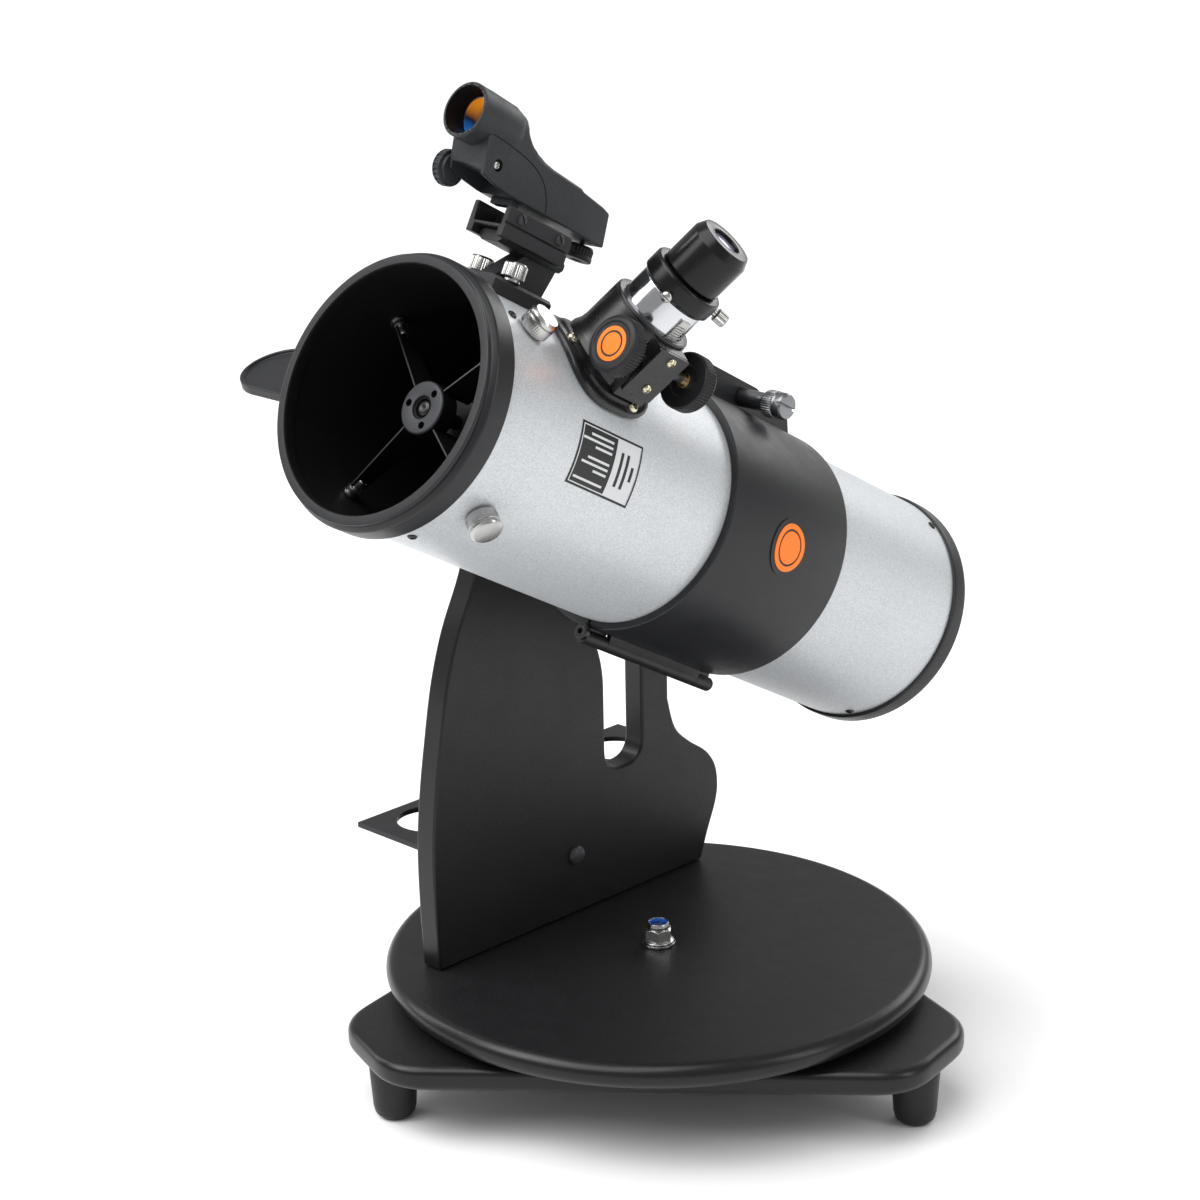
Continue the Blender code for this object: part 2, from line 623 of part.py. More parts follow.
def azimuth_hardware(parent):
    """The pivot bolt, bearing ring, washer and lock nut, which stay with the ground board."""
    board_top = FOOT_HEIGHT + BOARD_THICKNESS
    head_top = FOOT_HEIGHT - REST_GAP
    nut_base = DECK + REST_GAP + PIVOT_WASHER_THICKNESS + REST_GAP
    hex_top = nut_base + LOCK_NUT_FLANGE_THICKNESS + LOCK_NUT_HEX_HEIGHT
    nut_top = hex_top + LOCK_NUT_COLLAR_HEIGHT
    bolt_top = nut_top - INSERT_DEPTH + REST_GAP
    bolt = [
        (0.0, head_top - PIVOT_HEAD_THICKNESS),
        (PIVOT_HEAD_RADIUS, head_top - PIVOT_HEAD_THICKNESS),
        (PIVOT_HEAD_RADIUS, head_top),
        (PIVOT_BOLT_RADIUS, head_top),
        (PIVOT_BOLT_RADIUS, bolt_top),
        (0.0, bolt_top),
    ]
    solid("pivot_bolt", turned(bolt, SMALL), "steel", parent)
    ring = collar(BEARING_INNER_RADIUS, BEARING_OUTER_RADIUS, board_top + REST_GAP,
                  board_top + BEARING_THICKNESS - RUNNING_GAP, MEDIUM)
    solid("azimuth_bearing", ring, "white_nylon", parent)
    bore = PIVOT_BOLT_RADIUS + REST_GAP
    washer = collar(bore, PIVOT_WASHER_RADIUS, DECK + REST_GAP, nut_base - REST_GAP, MEDIUM)
    solid("pivot_washer", washer, "steel", parent)
    hex_base = nut_base + LOCK_NUT_FLANGE_THICKNESS
    nut = prism(hexagon(LOCK_NUT_ACROSS_FLATS), hex_base - 0.5 * MM, hex_top)
    made = solid("lock_nut", nut, "chrome", parent)
    flange = [(0.0, nut_base), (LOCK_NUT_FLANGE_RADIUS, nut_base), (LOCK_NUT_FLANGE_RADIUS, nut_base + 0.8 * MM),
              (LOCK_NUT_ACROSS_FLATS / 2, hex_base), (0.0, hex_base)]
    join(made, turned(flange, MEDIUM))
    top = [(0.0, hex_top - 1.0 * MM), (LOCK_NUT_COLLAR_RADIUS, hex_top - 1.0 * MM),
           (LOCK_NUT_COLLAR_RADIUS, nut_top - 1.0 * MM), (LOCK_NUT_COLLAR_RADIUS - 0.8 * MM, nut_top),
           (0.0, nut_top)]
    join(made, turned(top, SMALL))
    cut(made, rod(bore, nut_base - 1.0 * MM, nut_top + 1.0 * MM, SMALL))
    insert_bore = bore + INSERT_WALL - REST_GAP
    cut(made, rod(insert_bore, nut_top - INSERT_DEPTH, nut_top + 1.0 * MM, SMALL))
    insert = collar(PIVOT_BOLT_RADIUS - 1.0 * MM, insert_bore - REST_GAP, nut_top - INSERT_DEPTH + 2 * REST_GAP,
                    nut_top - REST_GAP, SMALL)
    solid("nut_insert", insert, "blue_nylon", parent)


# Turntable and arm, in the azimuth frame: z is 0 on the turntable's top

def turntable(parent):
    inner = PIVOT_BOLT_RADIUS + RUNNING_GAP + PIVOT_BUSH_WALL + REST_GAP
    levels = edge_rounding(TURNTABLE_THICKNESS, BOARD_EDGE_RADIUS)
    profile = [(inner, -TURNTABLE_THICKNESS)]
    profile += [(TURNTABLE_RADIUS - inset, height - TURNTABLE_THICKNESS) for height, inset in levels]
    profile.append((inner, 0.0))
    solid("turntable", turned(profile, FINE), "board", parent)
    bore = PIVOT_BOLT_RADIUS + RUNNING_GAP
    bush = collar(bore, bore + PIVOT_BUSH_WALL, -TURNTABLE_THICKNESS - BEARING_THICKNESS + RUNNING_GAP, 0.0, SMALL)
    solid("pivot_bush", bush, "white_nylon", parent)


def arm_outline():
    """y and z of the side arm, from the front foot over the round top to the rear foot."""
    front = [(y * MM, z * MM) for y, z in ARM_FRONT_LOWER]
    front += [(y * MM, ALTITUDE_HEIGHT + z * MM) for y, z in ARM_FRONT_UPPER]
    top_start = ARM_TOP_Y - ARM_TOP_RADIUS
    front.append((top_start, ALTITUDE_HEIGHT))
    top = arc((ARM_TOP_Y, ALTITUDE_HEIGHT), ARM_TOP_RADIUS, math.pi, 0.0, 18)
    rear = [(y * MM, z * MM) for y, z in ARM_REAR_LOWER]
    return smoothed(front)[:-1] + top + smoothed(rear)


def slot_outline():
    """The hand slot through the arm: straight at the bottom, flaring forward at the top."""
    top = ALTITUDE_HEIGHT - SLOT_TOP_BELOW_AXIS
    corners = (
        (SLOT_FRONT_Y, SLOT_BOTTOM),
        (SLOT_REAR_Y, SLOT_BOTTOM),
        (SLOT_REAR_Y, top),
        (SLOT_FLARE_Y, top),
        (SLOT_FRONT_Y, SLOT_FLARE_START),
    )
    return rounded(corners, SLOT_CORNER_RADIUS, 5)


def side_arm(parent):
    made = solid("side_arm", prism(arm_outline(), ARM_OUTER_X, ARM_INNER_X, "X"), "board", parent)
    low = ARM_OUTER_X - ARM_THICKNESS
    high = ARM_INNER_X + ARM_THICKNESS
    cut(made, prism(slot_outline(), low, high, "X"))
    bush_bore = ALTITUDE_BOLT_RADIUS + RUNNING_GAP + ALTITUDE_BUSH_WALL + REST_GAP
    cut(made, rod(bush_bore, low, high, SMALL, "X"), Matrix.Translation((0.0, ALTITUDE_Y, ALTITUDE_HEIGHT)))
    bolt_bore = RACK_BOLT_RADIUS + REST_GAP
    cut(made, rod(bolt_bore, low, high, TINY, "X"), Matrix.Translation((0.0, RACK_BOLT_Y, RACK_BOLT_Z)))


def eyepiece_rack(parent):
    """The rack, an angle with round holes, and the bolt and nut that hold it to the arm."""
    root = ARM_OUTER_X - REST_GAP
    outer = ARM_OUTER_X - RACK_DEPTH
    outline = (
        (root, RACK_FOOT),
        (root, RACK_TOP),
        (outer, RACK_TOP),
        (outer, RACK_TOP - RACK_THICKNESS),
        (root - RACK_THICKNESS, RACK_TOP - RACK_THICKNESS),
        (root - RACK_THICKNESS, RACK_FOOT),
    )
    made = solid("eyepiece_rack", prism(outline, RACK_FRONT_Y, RACK_REAR_Y, "Y"), "black_plastic", parent)
    first = RACK_FRONT_Y + RACK_HOLE_MARGIN
    pitch = (RACK_REAR_Y - RACK_FRONT_Y - 2 * RACK_HOLE_MARGIN) / (RACK_HOLE_COUNT - 1)
    middle_x = (ARM_OUTER_X + outer) / 2
    for index in range(RACK_HOLE_COUNT):
        place = Matrix.Translation((middle_x, first + pitch * index, RACK_TOP))
        cut(made, rod(RACK_HOLE_RADIUS, -3 * RACK_THICKNESS, 2 * RACK_THICKNESS, MEDIUM), place)
    axis = Matrix.Translation((0.0, RACK_BOLT_Y, RACK_BOLT_Z))
    cut(made, rod(RACK_BOLT_RADIUS + REST_GAP, outer, ARM_INNER_X, TINY, "X"), axis)
    place = (0.0, RACK_BOLT_Y, RACK_BOLT_Z)
    nut_face = root - RACK_THICKNESS - REST_GAP
    tip = nut_face - RACK_NUT_THICKNESS - 1.5 * MM
    head = ARM_INNER_X + REST_GAP
    bolt = [
        (0.0, tip),
        (RACK_BOLT_RADIUS, tip),
        (RACK_BOLT_RADIUS, head),
        (RACK_BOLT_HEAD_RADIUS, head),
        (0.8 * RACK_BOLT_HEAD_RADIUS, head + 0.7 * RACK_BOLT_HEAD_HEIGHT),
        (0.0, head + RACK_BOLT_HEAD_HEIGHT),
    ]
    solid("rack_bolt", turned(bolt, SMALL, "X"), "steel", parent, place)
    hole = RACK_BOLT_RADIUS + REST_GAP
    nut = turned([(hole, nut_face), (RACK_NUT_RADIUS, nut_face), (RACK_NUT_RADIUS, nut_face - RACK_NUT_THICKNESS),
                  (hole, nut_face - RACK_NUT_THICKNESS)], TINY, "X")
    solid("rack_nut", nut, "steel", parent, place)


def altitude_hardware(parent):
    """The bush in the arm and the washer between arm and cradle. x is measured from the tube's middle."""
    bore = ALTITUDE_BOLT_RADIUS + RUNNING_GAP
    inner = ARM_INNER_X - TUBE_X
    outer = ARM_OUTER_X - TUBE_X
    bush = collar(bore, bore + ALTITUDE_BUSH_WALL, outer, inner, SMALL, "X")
    solid("altitude_bush", bush, "white_nylon", parent)
    washer = collar(bore, ALTITUDE_WASHER_RADIUS, inner + REST_GAP, inner + REST_GAP + ALTITUDE_WASHER_THICKNESS,
                    MEDIUM, "X")
    solid("altitude_washer", washer, "white_nylon", parent)


def altitude_knob(parent):
    """The lobed tension knob outside the arm."""
    bore = ALTITUDE_BOLT_RADIUS + REST_GAP
    face = ARM_OUTER_X - TUBE_X - KNOB_STANDOFF
    outline = []
    for index in range(KNOB_LOBES * 4):
        angle = math.tau * index / (KNOB_LOBES * 4)
        radius = KNOB_RADIUS + KNOB_LOBE * math.cos(KNOB_LOBES * angle)
        outline.append((radius * math.cos(angle), radius * math.sin(angle)))
    made = solid("altitude_knob", prism(outline, face - KNOB_THICKNESS, face, "X"), "black_plastic", parent)
    cut(made, rod(bore, face - 0.8 * KNOB_THICKNESS, face + KNOB_STANDOFF, SMALL, "X"))


# Cradle, in the altitude frame: x across the tube, y back along it, z away from its axis

def cradle_profile():
    """The band's section, a little thick on the inside, where the tube's bore is cut last."""
    inner = TUBE_RADIUS - BAND_WALL
    return [(inner, station(BAND_START)), (BAND_RADIUS, station(BAND_START)), (BAND_RADIUS, station(BAND_END)),
            (inner, station(BAND_END))]


def lug_outline():
    """y and z of a clamp lug, tall in front and low behind."""
    root = BAND_RADIUS - 2.0 * MM
    slope = 5.0 * MM
    return (
        (station(LUG_FRONT), root),
        (station(LUG_REAR), root),
        (station(LUG_REAR) - slope, above(LUG_LOW)),
        (station(LUG_STEP) + slope, above(LUG_LOW)),
        (station(LUG_STEP), above(LUG_TALL)),
        (station(LUG_FRONT) + slope, above(LUG_TALL)),
    )


def knuckle(made, start, end, side):
    """Joins one hinge knuckle to a shell, with a web up to the band."""
    centre = -above(HINGE_BELOW_TUBE)
    root = -TUBE_RADIUS - BAND_WALL / 2
    first = math.acos(LUG_GAP / 2 / HINGE_RADIUS)
    last = math.acos(HINGE_WEB / HINGE_RADIUS) + math.tau
    barrel = arc((0.0, centre), HINGE_RADIUS, first, last, SMALL)
    outline = [(LUG_GAP / 2, root), *barrel, (HINGE_WEB, root)]
    join(made, prism([(side * x, z) for x, z in outline], start, end, "Y"))


def cradle_shells(far_parent, near_parent):
    """The two half shells. The far one carries the altitude boss, the near one swings on the hinge."""
    half = math.radians(SHELL_HALF_ANGLE_DEG)
    hinge_bore = rod(HINGE_PIN_RADIUS + RUNNING_GAP, station(HINGE_START) - 5 * MM, station(HINGE_END) + 5 * MM,
                     SMALL, "Y")
    hinge_line = Matrix.Translation((0.0, 0.0, -above(HINGE_BELOW_TUBE)))
    tube_bore = rod(TUBE_RADIUS + REST_GAP, station(BAND_START) - 10 * MM, station(BAND_END) + 10 * MM, FINE, "Y")
    near_start = station(HINGE_START) + HINGE_FRONT_KNUCKLE + RUNNING_GAP
    near_end = station(HINGE_END) - HINGE_REAR_KNUCKLE - RUNNING_GAP

    far = solid("cradle_far_shell", turned(cradle_profile(), MEDIUM, "Y", math.pi - half, 2 * half),
                "charcoal_paint", far_parent)
    boss_face = ARM_INNER_X - TUBE_X + 2 * REST_GAP + ALTITUDE_WASHER_THICKNESS
    boss_root = -TUBE_RADIUS * math.cos(math.asin(BOSS_RADIUS / TUBE_RADIUS))
    join(far, rod(BOSS_RADIUS, boss_face, boss_root, MEDIUM, "X"))
    bolt_hole = rod(ALTITUDE_BOLT_RADIUS + REST_GAP, boss_face - 5 * MM, boss_face + ALTITUDE_BOLT_DEPTH, SMALL, "X")
    cut(far, bolt_hole)
    join(far, prism(lug_outline(), -LUG_GAP / 2 - LUG_THICKNESS, -LUG_GAP / 2, "X"))
    clamp_line = Matrix.Translation((0.0, station(CLAMP_STATION), above(CLAMP_HEIGHT)))
    open_hole = rod(CLAMP_SHANK_RADIUS + CLAMP_OPENING_PLAY, -4 * LUG_THICKNESS, LUG_THICKNESS, SMALL, "X")
    cut(far, open_hole, clamp_line)
    knuckle(far, station(HINGE_START), station(HINGE_START) + HINGE_FRONT_KNUCKLE, -1)
    knuckle(far, station(HINGE_END) - HINGE_REAR_KNUCKLE, station(HINGE_END), -1)
    cut(far, hinge_bore.copy(), hinge_line)
    cut(far, tube_bore.copy())

    near = solid("cradle_near_shell", turned(cradle_profile(), MEDIUM, "Y", -half, 2 * half),
                 "charcoal_paint", near_parent)
    join(near, prism(lug_outline(), LUG_GAP / 2, LUG_GAP / 2 + LUG_THICKNESS, "X"))
    cut(near, rod(CLAMP_SHANK_RADIUS + RUNNING_GAP, -LUG_THICKNESS, 4 * LUG_THICKNESS, SMALL, "X"), clamp_line)
    knuckle(near, near_start, near_end, 1)
    cut(near, hinge_bore, hinge_line)
    cut(near, tube_bore)


def cradle_hardware(parent, near_parent):
    hinge_line = (0.0, 0.0, -above(HINGE_BELOW_TUBE))
    pin = rod(HINGE_PIN_RADIUS, station(HINGE_START) - 1.5 * MM, station(HINGE_END) + 1.5 * MM, SMALL, "Y")
    solid("hinge_pin", pin, "steel", parent, hinge_line)
    clamp_line = (0.0, station(CLAMP_STATION), above(CLAMP_HEIGHT))
    shoulder = LUG_GAP / 2 + LUG_THICKNESS + REST_GAP
    far_face = -LUG_GAP / 2 - LUG_THICKNESS - REST_GAP
    tip = far_face - CLAMP_NUT_THICKNESS - 1.0 * MM
    barrel_end = shoulder + CLAMP_BARREL_LENGTH
    bolt = [
        (0.0, tip),
        (CLAMP_SHANK_RADIUS, tip),
        (CLAMP_SHANK_RADIUS, shoulder),
        (CLAMP_BARREL_RADIUS, shoulder),
        (CLAMP_BARREL_RADIUS, barrel_end),
        (CLAMP_HEAD_RADIUS, barrel_end + 1.5 * MM),
        (CLAMP_HEAD_RADIUS, barrel_end + CLAMP_HEAD_LENGTH - 1.5 * MM),
        (CLAMP_HEAD_RADIUS - 1.5 * MM, barrel_end + CLAMP_HEAD_LENGTH),
        (0.0, barrel_end + CLAMP_HEAD_LENGTH),
    ]
    solid("clamp_bolt", turned(bolt, SMALL, "X"), "chrome", near_parent, clamp_line)
    hole = CLAMP_SHANK_RADIUS + CLAMP_OPENING_PLAY
    nut = turned([(hole, far_face), (CLAMP_NUT_RADIUS, far_face), (CLAMP_NUT_RADIUS, far_face - CLAMP_NUT_THICKNESS),
                  (hole, far_face - CLAMP_NUT_THICKNESS)], SMALL, "X")
    solid("clamp_nut", nut, "steel", parent, clamp_line)


def altitude_bolt(parent):
    """The stud that the cradle turns on, from inside the boss to the end of the knob's bore."""
    boss_face = ARM_INNER_X - TUBE_X + 2 * REST_GAP + ALTITUDE_WASHER_THICKNESS
    inner = boss_face + ALTITUDE_BOLT_DEPTH - REST_GAP
    outer = ARM_OUTER_X - TUBE_X - KNOB_STANDOFF - 0.75 * KNOB_THICKNESS
    solid("altitude_bolt", rod(ALTITUDE_BOLT_RADIUS, outer, inner, SMALL, "X"), "steel", parent)


# Tube

def radial(angle_deg, distance, along):
    """A point at a radius and angle round the tube's axis."""
    angle = math.radians(angle_deg)
    return (distance * math.cos(angle), along, distance * math.sin(angle))


def facing_out(angle_deg, along):
    """A frame on the tube's axis whose +Z points out at the given angle."""
    return Matrix.Translation((0.0, along, 0.0)) @ Matrix.Rotation(math.radians(90.0 - angle_deg), 4, "Y")


def spider_angles():
    return [SPIDER_FIRST_DEG + 90.0 * index for index in range(4)]


def optical_tube(parent):
    wall = collar(TUBE_RADIUS - TUBE_WALL, TUBE_RADIUS, station(TUBE_FRONT), station(TUBE_REAR), FINE, "Y")
    made = solid("optical_tube", wall, "silver_paint", parent)
    opening = rod(DRAWTUBE_RADIUS + RACK_BAR_RISE + 2 * RUNNING_GAP, above(-25 * MM), above(20 * MM), MEDIUM)
    cut(made, opening, facing_out(FOCUSER_DEG, station(FOCUSER_STATION)))
    for angle in spider_angles():
        hole = rod(SPIDER_STUD_RADIUS + REST_GAP, above(-10 * MM), above(10 * MM), TINY)
        cut(made, hole, facing_out(angle, station(SPIDER_STATION)))


def front_ring(parent):
    step = station(FRONT_RING_STEP)
    edge = station(TUBE_FRONT) - REST_GAP
    inner = TUBE_RADIUS + REST_GAP
    profile = [
        (FRONT_RING_INNER, station(0.0)),
        (FRONT_RING_LIP, station(0.0)),
        (FRONT_RING_LIP, step),
        (FRONT_RING_BODY, step),
        (FRONT_RING_BODY, station(FRONT_RING_DEPTH)),
        (inner, station(FRONT_RING_DEPTH)),
        (inner, edge),
        (FRONT_RING_INNER, edge),
    ]
    solid("front_ring", turned(profile, FINE, "Y"), "black_plastic", parent)


def rear_ring(parent):
    inner = TUBE_RADIUS + REST_GAP
    outer = inner + REAR_RING_WALL
    floor = station(TUBE_REAR) + REST_GAP
    end = station(REAR_RING_END)
    profile = [
        (inner, station(REAR_RING_START)),
        (outer, station(REAR_RING_START)),
        (outer, end),
        (REAR_RING_OPENING, end),
        (REAR_RING_OPENING, floor),
        (inner, floor),
    ]
    made = solid("rear_ring", turned(profile, FINE, "Y"), "black_plastic", parent)
    for angle in collimation_angles():
        hole = rod(COLLIMATION_SHANK + REST_GAP, floor - 5 * MM, end + 5 * MM, TINY, "Y")
        cut(made, hole, Matrix.Translation(radial(angle, COLLIMATION_CIRCLE, 0.0)))


def collimation_angles():
    return [90.0 + 120.0 * index for index in range(3)]


def primary_mirror(parent):
    """The main mirror, its cell and the three collimation screws."""
    face = station(PRIMARY_FACE)
    back = face + PRIMARY_THICKNESS
    solid("primary_mirror", rod(PRIMARY_RADIUS, face, back, MEDIUM, "Y"), "mirror", parent)
    rim_inner = PRIMARY_RADIUS + REST_GAP
    plate = back + REST_GAP
    outer = TUBE_RADIUS - TUBE_WALL - CELL_TO_TUBE
    profile = [
        (0.0, plate),
        (rim_inner, plate),
        (rim_inner, face + 3.0 * MM),
        (rim_inner + CELL_RIM, face + 3.0 * MM),
        (rim_inner + CELL_RIM, plate),
        (outer, plate),
        (outer, plate + CELL_PLATE),
        (0.0, plate + CELL_PLATE),
    ]
    solid("mirror_cell", turned(profile, MEDIUM, "Y"), "black_plastic", parent)
    start = plate + CELL_PLATE + REST_GAP
    head = station(REAR_RING_END) + REST_GAP
    screw = [
        (0.0, start),
        (COLLIMATION_SHANK, start),
        (COLLIMATION_SHANK, head),
        (COLLIMATION_HEAD, head),
        (COLLIMATION_HEAD, head + COLLIMATION_HEAD_LENGTH - 1.0 * MM),
        (COLLIMATION_HEAD - 1.0 * MM, head + COLLIMATION_HEAD_LENGTH),
        (0.0, head + COLLIMATION_HEAD_LENGTH),
    ]
    for index, angle in enumerate(collimation_angles()):
        solid(f"collimation_screw_{index + 1}", turned(screw, TINY, "Y"), "black_plastic", parent,
              radial(angle, COLLIMATION_CIRCLE, 0.0))


def spider(parent):
    """The hub with its post and four tapered vanes, and the knobs that hold them outside the tube."""
    front = station(HUB_FRONT)
    back = front + HUB_DEPTH
    hub = [
        (0.0, front),
        (HUB_RADIUS - 1.0 * MM, front),
        (HUB_RADIUS, front + 1.0 * MM),
        (HUB_RADIUS, back),
        (HUB_POST_RADIUS, back),
        (HUB_POST_RADIUS, station(HOLDER_START) - REST_GAP),
        (0.0, station(HOLDER_START) - REST_GAP),
    ]
    made = solid("spider", turned(hub, MEDIUM, "Y"), "matt_black", parent)
    wall = TUBE_RADIUS - TUBE_WALL
    end_top = wall - REST_GAP
    end_low = end_top - SPIDER_END_LENGTH
    root = HUB_RADIUS - 3.0 * MM
    centre = station(SPIDER_STATION)
    vane = (
        (front + 2.0 * MM, root),
        (front + 2.0 * MM + VANE_ROOT_DEPTH, root),
        (centre + VANE_TIP_DEPTH / 2, end_low + 2.0 * MM),
        (centre - VANE_TIP_DEPTH / 2, end_low + 2.0 * MM),
    )
    for angle in spider_angles():
        turn = facing_out(angle, 0.0)
        join(made, prism(vane, -VANE_THICKNESS / 2, VANE_THICKNESS / 2, "X"), turn)
        join(made, rod(SPIDER_END_RADIUS, end_low, end_top, SMALL), facing_out(angle, centre))
        cut(made, rod(SPIDER_STUD_RADIUS + REST_GAP, end_low + 3.0 * MM, end_top + 5 * MM, TINY),
            facing_out(angle, centre))
    base = above(REST_GAP + 0.4 * MM)
    knob = [
        (0.0, end_low + 3.5 * MM),
        (SPIDER_STUD_RADIUS, end_low + 3.5 * MM),
        (SPIDER_STUD_RADIUS, base),
        (SPIDER_KNOB_RADIUS, base),
        (SPIDER_KNOB_RADIUS, base + SPIDER_KNOB_HEIGHT - 1.0 * MM),
        (SPIDER_KNOB_RADIUS - 1.0 * MM, base + SPIDER_KNOB_HEIGHT),
        (0.0, base + SPIDER_KNOB_HEIGHT),
    ]
    for name, angle in zip(SPIDER_KNOB_NAMES, spider_angles()):
        tilt = (0.0, math.radians(90.0 - angle), 0.0)
        solid(name, turned(knob, SMALL), "chrome", parent, (0.0, centre, 0.0), tilt)


def secondary(parent):
    """The diagonal mirror and its holder, cut at 45 degrees to send the light up the focuser."""
    middle = station(FOCUSER_STATION)
    slant = SECONDARY_THICKNESS * math.sqrt(2)
    towards = math.radians(FOCUSER_DEG)

    def slanted(radius, offset, flat=None):
        loop = []
        for index in range(MEDIUM):
            angle = math.tau * index / MEDIUM
            x = radius * math.cos(angle)
            z = radius * math.sin(angle)
            out = x * math.cos(towards) + z * math.sin(towards)
            loop.append(Vector((x, middle - out - offset if flat is None else flat, z)))
        return loop

    mirror = lofted([slanted(SECONDARY_RADIUS, slant), slanted(SECONDARY_RADIUS, 0.0)])
    solid("secondary_mirror", mirror, "mirror", parent)
    holder = lofted([slanted(HOLDER_RADIUS, 0.0, station(HOLDER_START)),
                     slanted(HOLDER_RADIUS, slant + 2 * REST_GAP)])
    solid("secondary_holder", holder, "black_plastic", parent)


# Focuser, in its own frame: x round the tube (down, on the near side), y back along the tube, z out of it

def focuser_body(parent):
    corners = (
        (-FLANGE_HALF_WIDTH, -FLANGE_HALF_LENGTH),
        (FLANGE_HALF_WIDTH, -FLANGE_HALF_LENGTH),
        (FLANGE_HALF_WIDTH, FLANGE_HALF_LENGTH),
        (-FLANGE_HALF_WIDTH, FLANGE_HALF_LENGTH),
    )
    outline = [(x, y + FLANGE_SHIFT) for x, y in rounded(corners, FLANGE_CORNER_RADIUS, 6)]
    made = solid("focuser_body", prism(outline, above(-16 * MM), above(12 * MM)), "black_plastic", parent)
    reach = 2 * FLANGE_HALF_LENGTH
    outer = above(FLANGE_THICKNESS)
    far_away = above(60 * MM)
    cut(made, collar(outer, far_away, -reach, reach, FINE, "Y"))
    join(made, rod(HOUSING_RADIUS, above(-4 * MM), above(HOUSING_TOP), MEDIUM))
    join(made, block((HOUSING_RADIUS / 2, -BLOCK_HALF_LENGTH, above(BLOCK_START - 6 * MM)),
                     (BLOCK_OUTER, BLOCK_HALF_LENGTH, above(BLOCK_END))))
    cut(made, rod(TUBE_RADIUS + REST_GAP, -reach, reach, FINE, "Y"))
    cut(made, rod(DRAWTUBE_RADIUS + RUNNING_GAP, above(-30 * MM), above(HOUSING_TOP + 10 * MM), MEDIUM))
    slot_out = DRAWTUBE_RADIUS + RACK_BAR_RISE + RUNNING_GAP
    slot_half = RACK_BAR_HALF_WIDTH + RUNNING_GAP
    cut(made, block((0.0, -slot_half, above(-30 * MM)), (slot_out, slot_half, above(HOUSING_TOP + 10 * MM))))
    half = PINION_HALF_LENGTH + RUNNING_GAP
    room = PINION_RADIUS + 2 * RUNNING_GAP
    cut(made, block((DRAWTUBE_RADIUS - 3 * MM, -half, above(PINION_HEIGHT) - room),
                    (BLOCK_OUTER + 5 * MM, half, above(PINION_HEIGHT) + room)))
    shaft_line = Matrix.Translation((PINION_OFFSET, 0.0, above(PINION_HEIGHT)))
    cut(made, rod(PINION_SHAFT_RADIUS + RUNNING_GAP, -2 * BLOCK_HALF_LENGTH, 2 * BLOCK_HALF_LENGTH, SMALL, "Y"),
        shaft_line)
    cover = block((BLOCK_OUTER + REST_GAP, -BLOCK_HALF_LENGTH, above(BLOCK_START)),
                  (BLOCK_OUTER + REST_GAP + COVER_THICKNESS, BLOCK_HALF_LENGTH, above(BLOCK_END)))
    solid("pinion_cover", cover, "black_plastic", parent)


def drawtube(parent):
    inner = DRAWTUBE_RADIUS - DRAWTUBE_WALL
    pipe = collar(inner, DRAWTUBE_RADIUS, above(-DRAWTUBE_INNER_END), above(DRAWTUBE_OUTER_END), MEDIUM)
    made = solid("drawtube", pipe, "chrome", parent)
    join(made, block((DRAWTUBE_RADIUS - 1.5 * MM, -RACK_BAR_HALF_WIDTH, above(RACK_BAR_START)),
                     (DRAWTUBE_RADIUS + RACK_BAR_RISE, RACK_BAR_HALF_WIDTH, above(RACK_BAR_END))))


def pinion(parent):
    """The pinion shaft and the two knobs on its ends."""
    low = -FOCUS_KNOB_INNER - 0.6 * FOCUS_KNOB_THICKNESS
    shaft = [
        (0.0, low),
        (PINION_SHAFT_RADIUS, low),
        (PINION_SHAFT_RADIUS, -PINION_HALF_LENGTH),
        (PINION_RADIUS, -PINION_HALF_LENGTH),
        (PINION_RADIUS, PINION_HALF_LENGTH),
        (PINION_SHAFT_RADIUS, PINION_HALF_LENGTH),
        (PINION_SHAFT_RADIUS, -low),
        (0.0, -low),
    ]
    solid("pinion_shaft", turned(shaft, SMALL, "Y"), "steel", parent)
    bore = PINION_SHAFT_RADIUS + REST_GAP
    for name, side in (("focus_knob_front", -1), ("focus_knob_rear", 1)):
        floor = FOCUS_KNOB_INNER + 0.7 * FOCUS_KNOB_THICKNESS
        face = FOCUS_KNOB_INNER + FOCUS_KNOB_THICKNESS
        profile = [
            (bore, FOCUS_KNOB_INNER),
            (FOCUS_KNOB_RADIUS - 1.0 * MM, FOCUS_KNOB_INNER),
            (FOCUS_KNOB_RADIUS, FOCUS_KNOB_INNER + 1.0 * MM),
            (FOCUS_KNOB_RADIUS, FOCUS_KNOB_INNER + FOCUS_KNOB_GRIP),
            (FOCUS_KNOB_RADIUS - 1.5 * MM, face),
            (0.0, face),
            (0.0, floor),
            (bore, floor),
        ]
        turned_profile = [(radius, side * along) for radius, along in profile]
        solid(name, turned(turned_profile, MEDIUM, "Y"), "rubber", parent)


